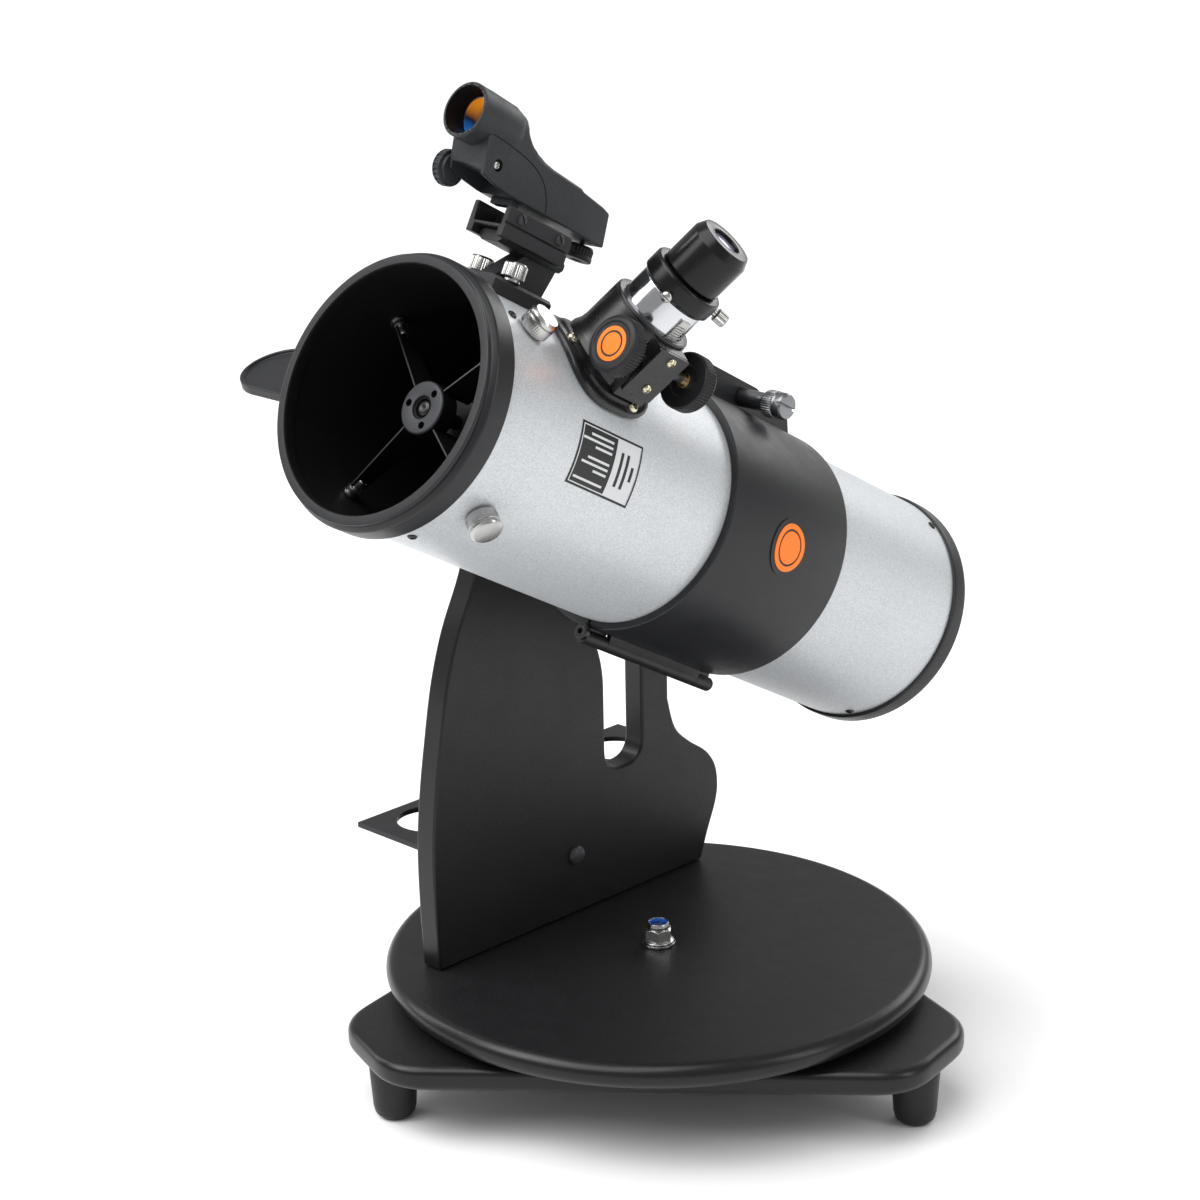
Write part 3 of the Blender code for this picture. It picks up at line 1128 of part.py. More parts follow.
def eyepiece_collar(parent):
    """The collar on the drawtube that holds the eyepiece."""
    bore = EYEPIECE_BARREL_RADIUS + RUNNING_GAP
    base = above(DRAWTUBE_OUTER_END) + REST_GAP
    spigot = DRAWTUBE_RADIUS - DRAWTUBE_WALL - REST_GAP
    profile = [
        (bore, base - COLLAR_SPIGOT),
        (spigot, base - COLLAR_SPIGOT),
        (spigot, base),
        (COLLAR_RADIUS, base),
        (COLLAR_RADIUS, base + COLLAR_HEIGHT - 1.0 * MM),
        (COLLAR_RADIUS - 1.0 * MM, base + COLLAR_HEIGHT),
        (bore, base + COLLAR_HEIGHT),
    ]
    made = solid("eyepiece_collar", turned(profile, MEDIUM), "black_plastic", parent)
    place = Matrix.Translation((0.0, 0.0, base + COLLAR_HEIGHT / 2)) @ thumbscrew_turn()
    cut(made, rod(THUMBSCREW_RADIUS + RUNNING_GAP, bore - 3 * MM, COLLAR_RADIUS + 5 * MM, TINY), place)


def thumbscrew_turn():
    """Turns +Z to point out of the collar, at the thumbscrew's angle from +Y towards +X."""
    angle = math.radians(THUMBSCREW_DEG)
    out = Vector((math.sin(angle), math.cos(angle), 0.0))
    return out.to_track_quat("Z", "Y").to_matrix().to_4x4()


def thumbscrew(parent):
    tip = EYEPIECE_BARREL_RADIUS + 2 * RUNNING_GAP
    head = COLLAR_RADIUS + THUMBSCREW_STANDOFF
    profile = [
        (0.0, tip),
        (THUMBSCREW_RADIUS, tip),
        (THUMBSCREW_RADIUS, head),
        (THUMBSCREW_HEAD_RADIUS, head),
        (THUMBSCREW_HEAD_RADIUS, head + THUMBSCREW_HEAD_LENGTH - 1.0 * MM),
        (THUMBSCREW_HEAD_RADIUS - 1.0 * MM, head + THUMBSCREW_HEAD_LENGTH),
        (0.0, head + THUMBSCREW_HEAD_LENGTH),
    ]
    base = above(DRAWTUBE_OUTER_END) + REST_GAP
    made = solid("eyepiece_thumbscrew", turned(profile, SMALL), "chrome", parent, (0.0, 0.0, base + COLLAR_HEIGHT / 2))
    made.rotation_euler = thumbscrew_turn().to_euler()


def eyepiece(parent):
    seat = above(DRAWTUBE_OUTER_END) + 2 * REST_GAP + COLLAR_HEIGHT
    top = seat + EYEPIECE_BODY_LENGTH
    low = seat - EYEPIECE_BARREL_LENGTH
    inner = EYEPIECE_BARREL_RADIUS - EYEPIECE_BARREL_WALL
    profile = [
        (inner, low),
        (EYEPIECE_BARREL_RADIUS, low),
        (EYEPIECE_BARREL_RADIUS, seat),
        (EYEPIECE_BODY_RADIUS, seat),
        (EYEPIECE_BODY_RADIUS, top - EYEPIECE_CHAMFER),
        (EYEPIECE_TOP_RADIUS, top),
        (EYE_HOLE_RADIUS, top),
        (EYE_HOLE_RADIUS, top - EYE_HOLE_DEPTH),
        (EYE_HOLE_RADIUS - 2.0 * MM, top - EYE_HOLE_DEPTH),
        (EYE_HOLE_RADIUS - 2.0 * MM, seat + 6.0 * MM),
        (inner, seat + 2.0 * MM),
    ]
    solid("eyepiece", turned(profile, MEDIUM), "black_plastic", parent)
    lens_top = top - EYE_HOLE_DEPTH + REST_GAP + EYE_LENS_THICKNESS
    lens = rod(EYE_HOLE_RADIUS - REST_GAP, top - EYE_HOLE_DEPTH + REST_GAP, lens_top, SMALL)
    solid("eye_lens", lens, "coated_glass", parent)


# Finder, in the altitude frame

def finder_outline(points):
    return [(station(along * MM), above(height * MM)) for along, height in points]


def finder_bracket(parent):
    """The foot on the tube, the stem and the rail on top of it, in one casting, and the foot's two nuts."""
    top = above(FINDER_FOOT_TOP)
    start = station(FINDER_FOOT_START)
    end = station(FINDER_FOOT_END)
    foot = block((-FINDER_FOOT_HALF_WIDTH, start, 0.9 * TUBE_RADIUS), (FINDER_FOOT_HALF_WIDTH, end, top))
    made = solid("finder_bracket", foot, "black_plastic", parent)
    cut(made, rod(TUBE_RADIUS + REST_GAP, start - 10 * MM, end + 10 * MM, FINE, "Y"))
    join(made, prism(finder_outline(STEM_PROFILE), -STEM_HALF_WIDTH, STEM_HALF_WIDTH, "X"))
    join(made, block((-RAIL_HALF_WIDTH, station(RAIL_START), above(RAIL_BOTTOM)),
                     (RAIL_HALF_WIDTH, station(RAIL_END), above(RAIL_TOP))))
    for name, side in (("finder_nut_near", 1), ("finder_nut_far", -1)):
        place = (side * FINDER_NUT_OFFSET, station(FINDER_NUT_STATION), 0.0)
        cut(made, rod(FINDER_STUD_RADIUS + REST_GAP, top - 4.0 * MM, top + 5.0 * MM, TINY),
            Matrix.Translation(place))
        profile = [
            (0.0, top - 3.0 * MM),
            (FINDER_STUD_RADIUS, top - 3.0 * MM),
            (FINDER_STUD_RADIUS, top + REST_GAP),
            (FINDER_NUT_RADIUS, top + REST_GAP),
            (FINDER_NUT_HEAD_RADIUS, top + REST_GAP + 1.5 * MM),
            (FINDER_NUT_HEAD_RADIUS, top + FINDER_NUT_HEIGHT),
            (0.0, top + FINDER_NUT_HEIGHT),
        ]
        solid(name, turned(profile, SMALL), "chrome", parent, place)


def finder_clamp(parent):
    """The block that grips the rail with two jaws."""
    start = station(CLAMP_BLOCK_START)
    end = station(CLAMP_BLOCK_END)
    top = above(CLAMP_BLOCK_TOP)
    bottom = above(CLAMP_JAW_BOTTOM)
    made = solid("finder_clamp", block((-CLAMP_HALF_WIDTH, start, bottom - 3.0 * MM), (CLAMP_HALF_WIDTH, end, top)),
                 "black_plastic", parent)
    room = RAIL_HALF_WIDTH + REST_GAP
    cut(made, block((-room, start - 5 * MM, above(RAIL_BOTTOM) - 10 * MM),
                    (room, end + 5 * MM, above(RAIL_TOP) + REST_GAP)))


def finder_body(parent, pivot):
    """The sight: a body with a ring-shaped hood that holds the lens. The parent is on the tilt axis."""
    shift = Matrix.Translation(-Vector(pivot))
    outline = finder_outline(BODY_PROFILE)
    body = prism(outline, -BODY_HALF_WIDTH, BODY_HALF_WIDTH, "X")
    bmesh.ops.transform(body, matrix=shift, verts=body.verts)
    made = solid("finder_body", body, "black_plastic", parent)
    hood_line = shift @ Matrix.Translation((0.0, 0.0, above(HOOD_HEIGHT)))
    join(made, rod(HOOD_RADIUS, station(HOOD_FRONT), station(HOOD_REAR), MEDIUM, "Y"), hood_line)
    lug = block(
        (-PIVOT_LUG_HALF_WIDTH, station(PIVOT_LUG_STATION) - PIVOT_LUG_HALF_LENGTH,
         above(CLAMP_BLOCK_TOP) + 2 * REST_GAP),
        (PIVOT_LUG_HALF_WIDTH, station(PIVOT_LUG_STATION) + PIVOT_LUG_HALF_LENGTH,
         above(CLAMP_BLOCK_TOP) + 8.0 * MM))
    join(made, lug, shift)
    stud_hole = rod(WHEEL_STUD_RADIUS + WHEEL_STUD_PLAY, above(WHEEL_BOTTOM),
                    above(WHEEL_STUD_TOP) + WHEEL_STUD_HEADROOM, TINY)
    cut(made, stud_hole, shift @ Matrix.Translation((0.0, station(WHEEL_STATION), 0.0)))
    cut(made, rod(HOOD_BORE, station(HOOD_FRONT) - 5 * MM, station(60 * MM), MEDIUM, "Y"), hood_line)
    lens_start = station(FINDER_LENS_STATION)
    lens = rod(HOOD_BORE - REST_GAP, lens_start, lens_start + FINDER_LENS_THICKNESS, MEDIUM, "Y")
    bmesh.ops.transform(lens, matrix=hood_line, verts=lens.verts)
    solid("finder_lens", lens, "coated_glass", parent)


def finder_knobs(dial_parent, wheel_parent):
    """The round dial on the far side and the ribbed tilt wheel under the rear, each on its own axis."""
    face = -BODY_HALF_WIDTH - REST_GAP
    dial = [
        (0.0, face),
        (SIDE_DIAL_RADIUS - 2.0 * MM, face),
        (SIDE_DIAL_RADIUS, face - 2.5 * MM),
        (SIDE_DIAL_RADIUS, face - SIDE_DIAL_THICKNESS + 1.0 * MM),
        (SIDE_DIAL_RADIUS - 1.0 * MM, face - SIDE_DIAL_THICKNESS),
        (0.0, face - SIDE_DIAL_THICKNESS),
    ]
    solid("finder_dial", turned(dial, SMALL, "X"), "black_plastic", dial_parent)
    low = above(WHEEL_BOTTOM)
    high = above(WHEEL_TOP)
    wheel = [
        (0.0, low),
        (WHEEL_RADIUS, low),
        (WHEEL_RADIUS, low + WHEEL_FLANGE),
        (WHEEL_HUB_RADIUS, low + WHEEL_FLANGE),
        (WHEEL_HUB_RADIUS, high),
        (WHEEL_STUD_RADIUS, high),
        (WHEEL_STUD_RADIUS, above(WHEEL_STUD_TOP)),
        (0.0, above(WHEEL_STUD_TOP)),
    ]
    solid("finder_wheel", turned(wheel, SMALL), "black_plastic", wheel_parent)


# Side dock, in the altitude frame

def side_dock(parent):
    """A saddle on the tube's arm side, the lipped paddle on it and the bolt that holds them together."""
    middle = station(PADDLE_STATION)
    end = station(DOCK_END)
    face = -above(DOCK_REACH)
    tilt = math.radians(PADDLE_TILT_DEG)
    back = (PADDLE_THICKNESS + REST_GAP) / math.sin(tilt)
    seat = []
    for height in (-DOCK_HALF_HEIGHT, DOCK_HALF_HEIGHT):
        seat.append((middle + back + (height - PADDLE_HEIGHT) / math.tan(tilt), height))
    saddle = prism([*seat, (end, DOCK_HALF_HEIGHT), (end, -DOCK_HALF_HEIGHT)], face, -0.9 * TUBE_RADIUS, "X")
    made = solid("dock_bracket", saddle, "black_plastic", parent)
    cut(made, rod(TUBE_RADIUS + REST_GAP, middle - 2 * DOCK_END, end + 10 * MM, FINE, "Y"))
    bolt_line = Matrix.Translation((0.0, station(DOCK_BOLT_STATION), 0.0))
    cut(made, rod(DOCK_BOLT_RADIUS + REST_GAP, face - 5 * MM, face + 12 * MM, TINY, "X"), bolt_line)

    reach = PADDLE_CENTRE_REACH - PADDLE_ROOT
    outline = arc((0.0, 0.0), PADDLE_RADIUS, math.pi / 2, 3 * math.pi / 2, 14)
    outline += [(reach, -PADDLE_RADIUS), (reach, PADDLE_RADIUS)]
    inner = arc((0.0, 0.0), PADDLE_RADIUS - PADDLE_LIP_WALL, math.pi / 2, 3 * math.pi / 2, 14)
    inner += [(reach + 5 * MM, -PADDLE_RADIUS + PADDLE_LIP_WALL), (reach + 5 * MM, PADDLE_RADIUS - PADDLE_LIP_WALL)]
    centre = (-above(PADDLE_CENTRE_REACH), middle, PADDLE_HEIGHT)
    paddle = solid("dock_paddle", prism(outline, -PADDLE_THICKNESS, PADDLE_LIP), "black_plastic", parent, centre,
                   (tilt, 0.0, 0.0))
    cut(paddle, prism(inner, 0.0, 2 * PADDLE_LIP))
    bolt = [
        (0.0, face + 11 * MM),
        (DOCK_BOLT_RADIUS, face + 11 * MM),
        (DOCK_BOLT_RADIUS, face - REST_GAP),
        (DOCK_BOLT_HEAD_RADIUS, face - REST_GAP),
        (DOCK_BOLT_HEAD_RADIUS, face - DOCK_BOLT_HEAD_LENGTH),
        (0.0, face - DOCK_BOLT_HEAD_LENGTH),
    ]
    solid("dock_bolt", turned(bolt, TINY, "X"), "steel", parent, (0.0, station(DOCK_BOLT_STATION), 0.0))


def stand_on_origin(root):
    """Moves the root so that the footprint box is centred on the origin."""
    bpy.context.view_layer.update()
    graph = bpy.context.evaluated_depsgraph_get()
    corners = []
    for obj in bpy.context.scene.objects:
        if obj.type == "MESH" and not obj.hide_render:
            evaluated = obj.evaluated_get(graph)
            corners += [evaluated.matrix_world @ vertex.co for vertex in evaluated.data.vertices]
    middle = [(min(p[i] for p in corners) + max(p[i] for p in corners)) / 2 for i in (0, 1)]
    root.location = (-round(middle[0], 4), -round(middle[1], 4), 0.0)


def build():
    clear_scene()
    root = empty("telescope", None, (0.0, 0.0, 0.0))
    azimuth = empty("azimuth_axis", root, (0.0, 0.0, DECK))
    pivot = (TUBE_X, ALTITUDE_Y, ALTITUDE_HEIGHT)
    bearing = empty("altitude_bearing", azimuth, pivot)
    altitude = empty("altitude_axis", azimuth, pivot, (-math.radians(TUBE_ALTITUDE_DEG), 0.0, 0.0))
    focuser_turn = (0.0, math.radians(90.0 - FOCUSER_DEG), 0.0)
    focuser = empty("focuser_axis", altitude, (0.0, station(FOCUSER_STATION), 0.0), focuser_turn)
    pinion_axis = empty("pinion_axis", focuser, (PINION_OFFSET, 0.0, above(PINION_HEIGHT)))
    tilt_point = (0.0, station(PIVOT_LUG_STATION), above(CLAMP_BLOCK_TOP))
    finder_tilt = empty("finder_tilt_axis", altitude, tilt_point)
    dial_offset = (0.0, station(SIDE_DIAL_STATION) - tilt_point[1], above(SIDE_DIAL_HEIGHT) - tilt_point[2])
    dial_axis = empty("finder_dial_axis", finder_tilt, dial_offset)
    wheel_axis = empty("finder_wheel_axis", altitude, (0.0, station(WHEEL_STATION), 0.0))

    ground_board(root)
    feet(root)
    azimuth_hardware(root)
    turntable(azimuth)
    side_arm(azimuth)
    eyepiece_rack(azimuth)
    altitude_hardware(bearing)
    altitude_knob(bearing)
    cradle_shells(altitude, altitude)
    cradle_hardware(altitude, altitude)
    altitude_bolt(altitude)
    optical_tube(altitude)
    front_ring(altitude)
    rear_ring(altitude)
    primary_mirror(altitude)
    spider(altitude)
    secondary(altitude)
    focuser_body(focuser)
    drawtube(focuser)
    pinion(pinion_axis)
    eyepiece_collar(focuser)
    thumbscrew(focuser)
    eyepiece(focuser)
    finder_bracket(altitude)
    finder_clamp(altitude)
    finder_body(finder_tilt, tilt_point)
    finder_knobs(dial_axis, wheel_axis)
    side_dock(altitude)
    stand_on_origin(root)


build()
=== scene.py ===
import json
import math

import bmesh
import bpy
from mathutils import Matrix, Vector


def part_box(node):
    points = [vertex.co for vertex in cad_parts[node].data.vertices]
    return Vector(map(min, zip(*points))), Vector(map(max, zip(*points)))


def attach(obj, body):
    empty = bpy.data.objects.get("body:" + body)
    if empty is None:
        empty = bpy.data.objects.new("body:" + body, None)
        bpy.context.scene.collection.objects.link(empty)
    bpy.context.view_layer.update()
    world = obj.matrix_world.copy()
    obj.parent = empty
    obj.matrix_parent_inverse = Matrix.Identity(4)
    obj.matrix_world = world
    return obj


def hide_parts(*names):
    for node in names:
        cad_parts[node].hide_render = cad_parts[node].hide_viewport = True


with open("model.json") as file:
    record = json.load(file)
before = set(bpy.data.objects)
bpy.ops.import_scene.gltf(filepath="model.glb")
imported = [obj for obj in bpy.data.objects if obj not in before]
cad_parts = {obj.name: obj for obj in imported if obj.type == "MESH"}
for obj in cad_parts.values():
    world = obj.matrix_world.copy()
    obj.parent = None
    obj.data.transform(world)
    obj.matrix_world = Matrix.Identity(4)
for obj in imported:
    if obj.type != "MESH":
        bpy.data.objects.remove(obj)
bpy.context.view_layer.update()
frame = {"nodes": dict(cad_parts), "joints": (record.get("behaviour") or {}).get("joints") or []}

MM = 0.001
JOINTS = {joint["name"]: joint for joint in frame["joints"]}


# Local frames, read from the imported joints

def axes(origin, x, y, z):
    """A frame at the origin with the given axes."""
    columns = Matrix((x, y, z)).transposed().to_4x4()
    return Matrix.Translation(origin) @ columns


def joint_point(name):
    return Vector(JOINTS[name]["pos_m"])


def joint_axis(name):
    return Vector(JOINTS[name]["axis"]).normalized()


ACROSS = Vector((1.0, 0.0, 0.0))
BACK = joint_axis("cradle_open")  # along the tube, towards the mirror
RISE = ACROSS.cross(BACK)
OUT = joint_axis("focus_slide")
ALT = axes(joint_point("altitude_tilt"), ACROSS, BACK, RISE)
AZ = Matrix.Translation(joint_point("azimuth_turn"))
FOCUS_STATION = (joint_point("focus_knob_turn") - ALT.translation).dot(BACK)
FOC = axes(ALT.translation + BACK * FOCUS_STATION, BACK.cross(OUT), BACK, OUT)
PIN = axes(joint_point("focus_knob_turn"), BACK.cross(OUT), BACK, OUT)
BEARING = Matrix.Translation(ALT.translation)


def span(node, place):
    """Lowest and highest corner of a CAD node along a local frame's axes."""
    back = place.inverted()
    points = [back @ vertex.co for vertex in frame["nodes"][node].data.vertices]
    return (Vector([min(point[i] for point in points) for i in range(3)]),
            Vector([max(point[i] for point in points) for i in range(3)]))


def reach(node, place, axis="Y"):
    """Largest distance of a CAD node's corners from an axis of a local frame."""
    back = place.inverted()
    others = [i for i in range(3) if i != "XYZ".index(axis)]
    points = [back @ vertex.co for vertex in frame["nodes"][node].data.vertices]
    return max(math.hypot(point[others[0]], point[others[1]]) for point in points)


TUBE_R = reach("optical_tube", ALT)
TUBE_WALL = 1.6 * MM
FRONT = span("front_ring", ALT)[0].y  # the tube's front plane
FLOOR_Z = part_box("foot_rear")[0].z

# Sizes that several pieces share, in millimetres and degrees
FOCUS_ANGLE = 53.9  # of the focuser round the tube, up from the near side
HINGE_DROP = 10.2  # hinge axis below the tube
CLAMP_RISE = 11.0  # clamp bolt's axis above the tube
CRADLE_THICKNESS = 4.6
FLANGE_TOP = 4.6  # seat of the focuser flange screws above the tube
CRADLE_GAP = 0.3  # between the cradle's bore and the tube
HOOD_HEIGHT = 81.5  # finder's line of sight above the tube
FINDER_SCREW = (15.9, 60.4)  # station and height
HUB_HOLE_CIRCLE = 10.4
HUB_HOLE_DEG = 55.0  # first of the hub's three screws
SPIDER_ANGLES = (50.0, 140.0, 230.0, 320.0)
PAST = 0.01  # metres that a cutter runs on past a face


def station(distance):
    """Distance in millimetres behind the front plane, as a y in the tube's frame."""
    return FRONT + distance * MM


def above(height):
    """Height in millimetres above the tube, as a radius from its axis."""
    return TUBE_R + height * MM


# Mesh helpers

def mapped(first, second, height, axis):
    """A point of a profile or outline whose height runs along the given axis."""
    if axis == "X":
        return Vector((height, first, second))
    if axis == "Y":
        return Vector((first, height, second))
    return Vector((first, second, height))


def scaled(points):
    """Millimetres to metres."""
    return [tuple(value * MM for value in point) for point in points]


def soften(points, radius, steps=3, poles=False):
    """A closed outline with its corners rounded; with poles, corners on the axis stay."""
    result = []
    for index, point in enumerate(points):
        here = Vector(point)
        before = Vector(points[index - 1]) - here
        after = Vector(points[(index + 1) % len(points)]) - here
        if (poles and point[0] == 0) or before.angle(after, 0.0) > math.radians(170):
            result.append(here)
            continue
        size = min(radius, 0.45 * before.length, 0.45 * after.length)
        first = here + before.normalized() * size
        last = here + after.normalized() * size
        for step in range(steps + 1):
            t = step / steps
            result.append(first * (1 - t) ** 2 + here * 2 * t * (1 - t) + last * t ** 2)
    return [tuple(point) for point in result]


def arc(centre, radius, start, end, steps):
    points = []
    for index in range(steps + 1):
        angle = math.radians(start + (end - start) * index / steps)
        points.append((centre[0] + radius * math.cos(angle), centre[1] + radius * math.sin(angle)))
    return points


def smoothed(points, steps=5):
    """A Catmull-Rom curve through the points, ends included."""
    padded = [points[0], *points, points[-1]]
    curve = []
    for before, here, after, beyond in zip(padded, padded[1:], padded[2:], padded[3:]):
        for index in range(steps):
            t = index / steps
            point = []
            for a, b, c, d in zip(before, here, after, beyond):
                bend = (2 * a - 5 * b + 4 * c - d) * t + (3 * (b - c) + d - a) * t * t
                point.append(b + 0.5 * t * ((c - a) + bend))
            curve.append(tuple(point))
    curve.append(points[-1])
    return curve


def turned(profile, segments=96, axis="Z", ribs=None, sweep=None):
    """A body of revolution. ribs is (count, depth, low, high): grooves between two heights.
    sweep is (start, end) in degrees for part of a turn."""
    mesh = bmesh.new()
    if ribs:
        segments = ribs[0] * 4
    start, end = sweep or (0.0, 360.0)
    columns = segments + 1 if sweep else segments
    rings = []
    for radius, height in profile:
        grooved = ribs and ribs[2] <= height <= ribs[3]
        ring = []
        for index in range(1 if radius == 0 else columns):
            angle = math.radians(start + (end - start) * index / segments)
            size = radius - ribs[1] if grooved and index % 4 > 1 else radius
            ring.append(mesh.verts.new(mapped(size * math.cos(angle), size * math.sin(angle), height,
                                              axis)))
        rings.append(ring)
    for lower, upper in zip(rings, rings[1:] + rings[:1]):
        if len(lower) == 1 and len(upper) == 1:
            continue
        for index in range(segments):
            after = (index + 1) % columns
            corners = []
            for ring, step in ((lower, index), (lower, after), (upper, after), (upper, index)):
                corner = ring[step % len(ring)]
                if corner not in corners:
                    corners.append(corner)
            mesh.faces.new(corners)
    if sweep:
        mesh.faces.new([ring[0] for ring in rings])
        mesh.faces.new([ring[-1] for ring in reversed(rings)])
    bmesh.ops.recalc_face_normals(mesh, faces=mesh.faces)
    return mesh


def spun(profile, segments=96, axis="Z", soft=0.6, ribs=None):
    """A turned body from millimetres, its corners rounded."""
    points = soften(scaled(profile), soft * MM, poles=True) if soft else scaled(profile)
    limits = (ribs[0], ribs[1] * MM, ribs[2] * MM - 1e-6, ribs[3] * MM + 1e-6) if ribs else None
    return turned(points, segments, axis, limits)


def rod(radius, low, high, segments=48, axis="Z"):
    return turned([(0.0, low), (radius, low), (radius, high), (0.0, high)], segments, axis)


def pipe(inner, outer, low, high, segments=48, axis="Z"):
    return turned([(inner, low), (outer, low), (outer, high), (inner, high)], segments, axis)


def lofted(loops):
    """A closed body through loops of equal length, capped at both ends."""
    mesh = bmesh.new()
    rings = [[mesh.verts.new(point) for point in loop] for loop in loops]
    count = len(rings[0])
    for lower, upper in zip(rings, rings[1:]):
        for index in range(count):
            after = (index + 1) % count
            mesh.faces.new((lower[index], lower[after], upper[after], upper[index]))
    mesh.faces.new(rings[0])
    mesh.faces.new(reversed(rings[-1]))
    bmesh.ops.recalc_face_normals(mesh, faces=mesh.faces)
    return mesh


def prism(outline, low, high, axis="Z"):
    return lofted([[mapped(first, second, height, axis) for first, second in outline] for height in (low,
                                                                                                     high)])


def block(low, high):
    outline = ((low[0], low[1]), (high[0], low[1]), (high[0], high[1]), (low[0], high[1]))
    return prism(outline, low[2], high[2])


def box_mm(low, high):
    return block([value * MM for value in low], [value * MM for value in high])


def moved(mesh, place):
    bmesh.ops.transform(mesh, matrix=place, verts=mesh.verts)
    return mesh


def gathered(*meshes):
    """Several separate bodies in one mesh."""
    whole = bmesh.new()
    for mesh in meshes:
        data = bpy.data.meshes.new("part")
        mesh.to_mesh(data)
        mesh.free()
        whole.from_mesh(data)
        bpy.data.meshes.remove(data)
    return whole


def carved(mesh, *tools, operation="DIFFERENCE"):
    """The mesh after a Boolean with each tool in turn."""
    objects = []
    for source in (mesh, *tools):
        data = bpy.data.meshes.new("carving")
        source.to_mesh(data)
        source.free()
        made = bpy.data.objects.new("carving", data)
        bpy.context.scene.collection.objects.link(made)
        objects.append(made)
    for tool in objects[1:]:
        modifier = objects[0].modifiers.new("carve", "BOOLEAN")
        modifier.operation = operation
        modifier.solver = "EXACT"
        modifier.object = tool
    bpy.context.view_layer.update()
    evaluated = objects[0].evaluated_get(bpy.context.evaluated_depsgraph_get())
    result = bmesh.new()
    result.from_mesh(evaluated.data)
    for made in objects:
        data = made.data
        bpy.data.objects.remove(made)
        bpy.data.meshes.remove(data)
    return result


def wrapped(mesh, angle_deg, place_y):
    """Bends a flat mesh round the tube: x runs round it, y along it, z out from its surface."""
    for vertex in mesh.verts:
        angle = math.radians(angle_deg) - vertex.co.x / TUBE_R
        radius = TUBE_R + vertex.co.z
        vertex.co = Vector((radius * math.cos(angle), place_y + vertex.co.y, radius * math.sin(angle)))
    bmesh.ops.recalc_face_normals(mesh, faces=mesh.faces)
    return mesh


def pillow(outline, levels):
    """A plate whose outline shrinks by each level's share at that height, closed by small caps."""
    return lofted([[Vector((x * share, y * share, height)) for x, y in outline] for share,
                   height in levels])


def strip(low, high, cuts=12):
    """A box, in millimetres, with cuts along x so that it can be wrapped."""
    xs = [low[0] + (high[0] - low[0]) * index / cuts for index in range(cuts + 1)]
    section = [(x, low[2]) for x in xs] + [(x, high[2]) for x in reversed(xs)]
    return prism(scaled(section), low[1] * MM, high[1] * MM, "Y")


def facing(angle_deg, y=0.0):
    """A frame on the tube's axis whose +Z points out at an angle from +X."""
    return Matrix.Translation((0.0, y, 0.0)) @ Matrix.Rotation(math.radians(90.0 - angle_deg), 4, "Y")


def flipped(mesh, side):
    """The mesh, turned to point the other way along Y when side is negative."""
    return moved(mesh, Matrix.Rotation(math.pi, 4, "Z")) if side < 0 else mesh


def around(count, radius, first_deg):
    """Places evenly spaced on a circle about Y, its radius in millimetres."""
    angles = [math.radians(first_deg + 360.0 / count * index) for index in range(count)]
    return [Matrix.Translation((radius * MM * math.cos(angle), 0.0, radius * MM * math.sin(angle)))
            for angle in angles]


def hexagon(across_flats, turn=0.0):
    return arc((0.0, 0.0), across_flats / math.sqrt(3), turn, turn + 300.0, 5)


# Materials

class Nodes:
    """A short way to build a Principled material."""

    def __init__(self, name):
        self.material = bpy.data.materials.new(name)
        self.material.use_nodes = True
        self.tree = self.material.node_tree
        self.shader = self.tree.nodes["Principled BSDF"]
        self.coordinates = self.add("ShaderNodeTexCoord")

    def add(self, kind, **settings):
        node = self.tree.nodes.new(kind)
        for key, value in settings.items():
            setattr(node, key, value)
        return node

    def link(self, source, target):
        self.tree.links.new(source, target)

    def noise(self, scale, detail=3.0, roughness=0.55):
        node = self.add("ShaderNodeTexNoise")
        node.inputs["Scale"].default_value = scale
        node.inputs["Detail"].default_value = detail
        node.inputs["Roughness"].default_value = roughness
        self.link(self.coordinates.outputs["Object"], node.inputs["Vector"])
        return node.outputs["Fac"]

    def ranged(self, source, low, high, start=0.3, end=0.7):
        node = self.add("ShaderNodeMapRange")
        for key, value in (("From Min", start), ("From Max", end), ("To Min", low), ("To Max", high)):
            node.inputs[key].default_value = value
        self.link(source, node.inputs["Value"])
        return node.outputs["Result"]

    def mixed(self, factor, first, second):
        node = self.add("ShaderNodeMix", data_type="RGBA")
        self.link(factor, node.inputs[0])
        for socket, colour in ((node.inputs[6], first), (node.inputs[7], second)):
            if isinstance(colour, tuple):
                socket.default_value = (*colour, 1.0)
            else:
                self.link(colour, socket)
        return node.outputs[2]

    def times(self, source, other):
        node = self.add("ShaderNodeMath", operation="MULTIPLY")
        self.link(source, node.inputs[0])
        if isinstance(other, float):
            node.inputs[1].default_value = other
        else:
            self.link(other, node.inputs[1])
        return node.outputs[0]

    def bump(self, height, distance, strength=1.0, below=None):
        node = self.add("ShaderNodeBump")
        node.inputs["Distance"].default_value = distance
        if isinstance(strength, float):
            node.inputs["Strength"].default_value = strength
        else:
            self.link(strength, node.inputs["Strength"])
        self.link(height, node.inputs["Height"])
        if below is not None:
            self.link(below, node.inputs["Normal"])
        return node.outputs["Normal"]


def tone(colour, factor):
    return tuple(min(1.0, value * factor) for value in colour)


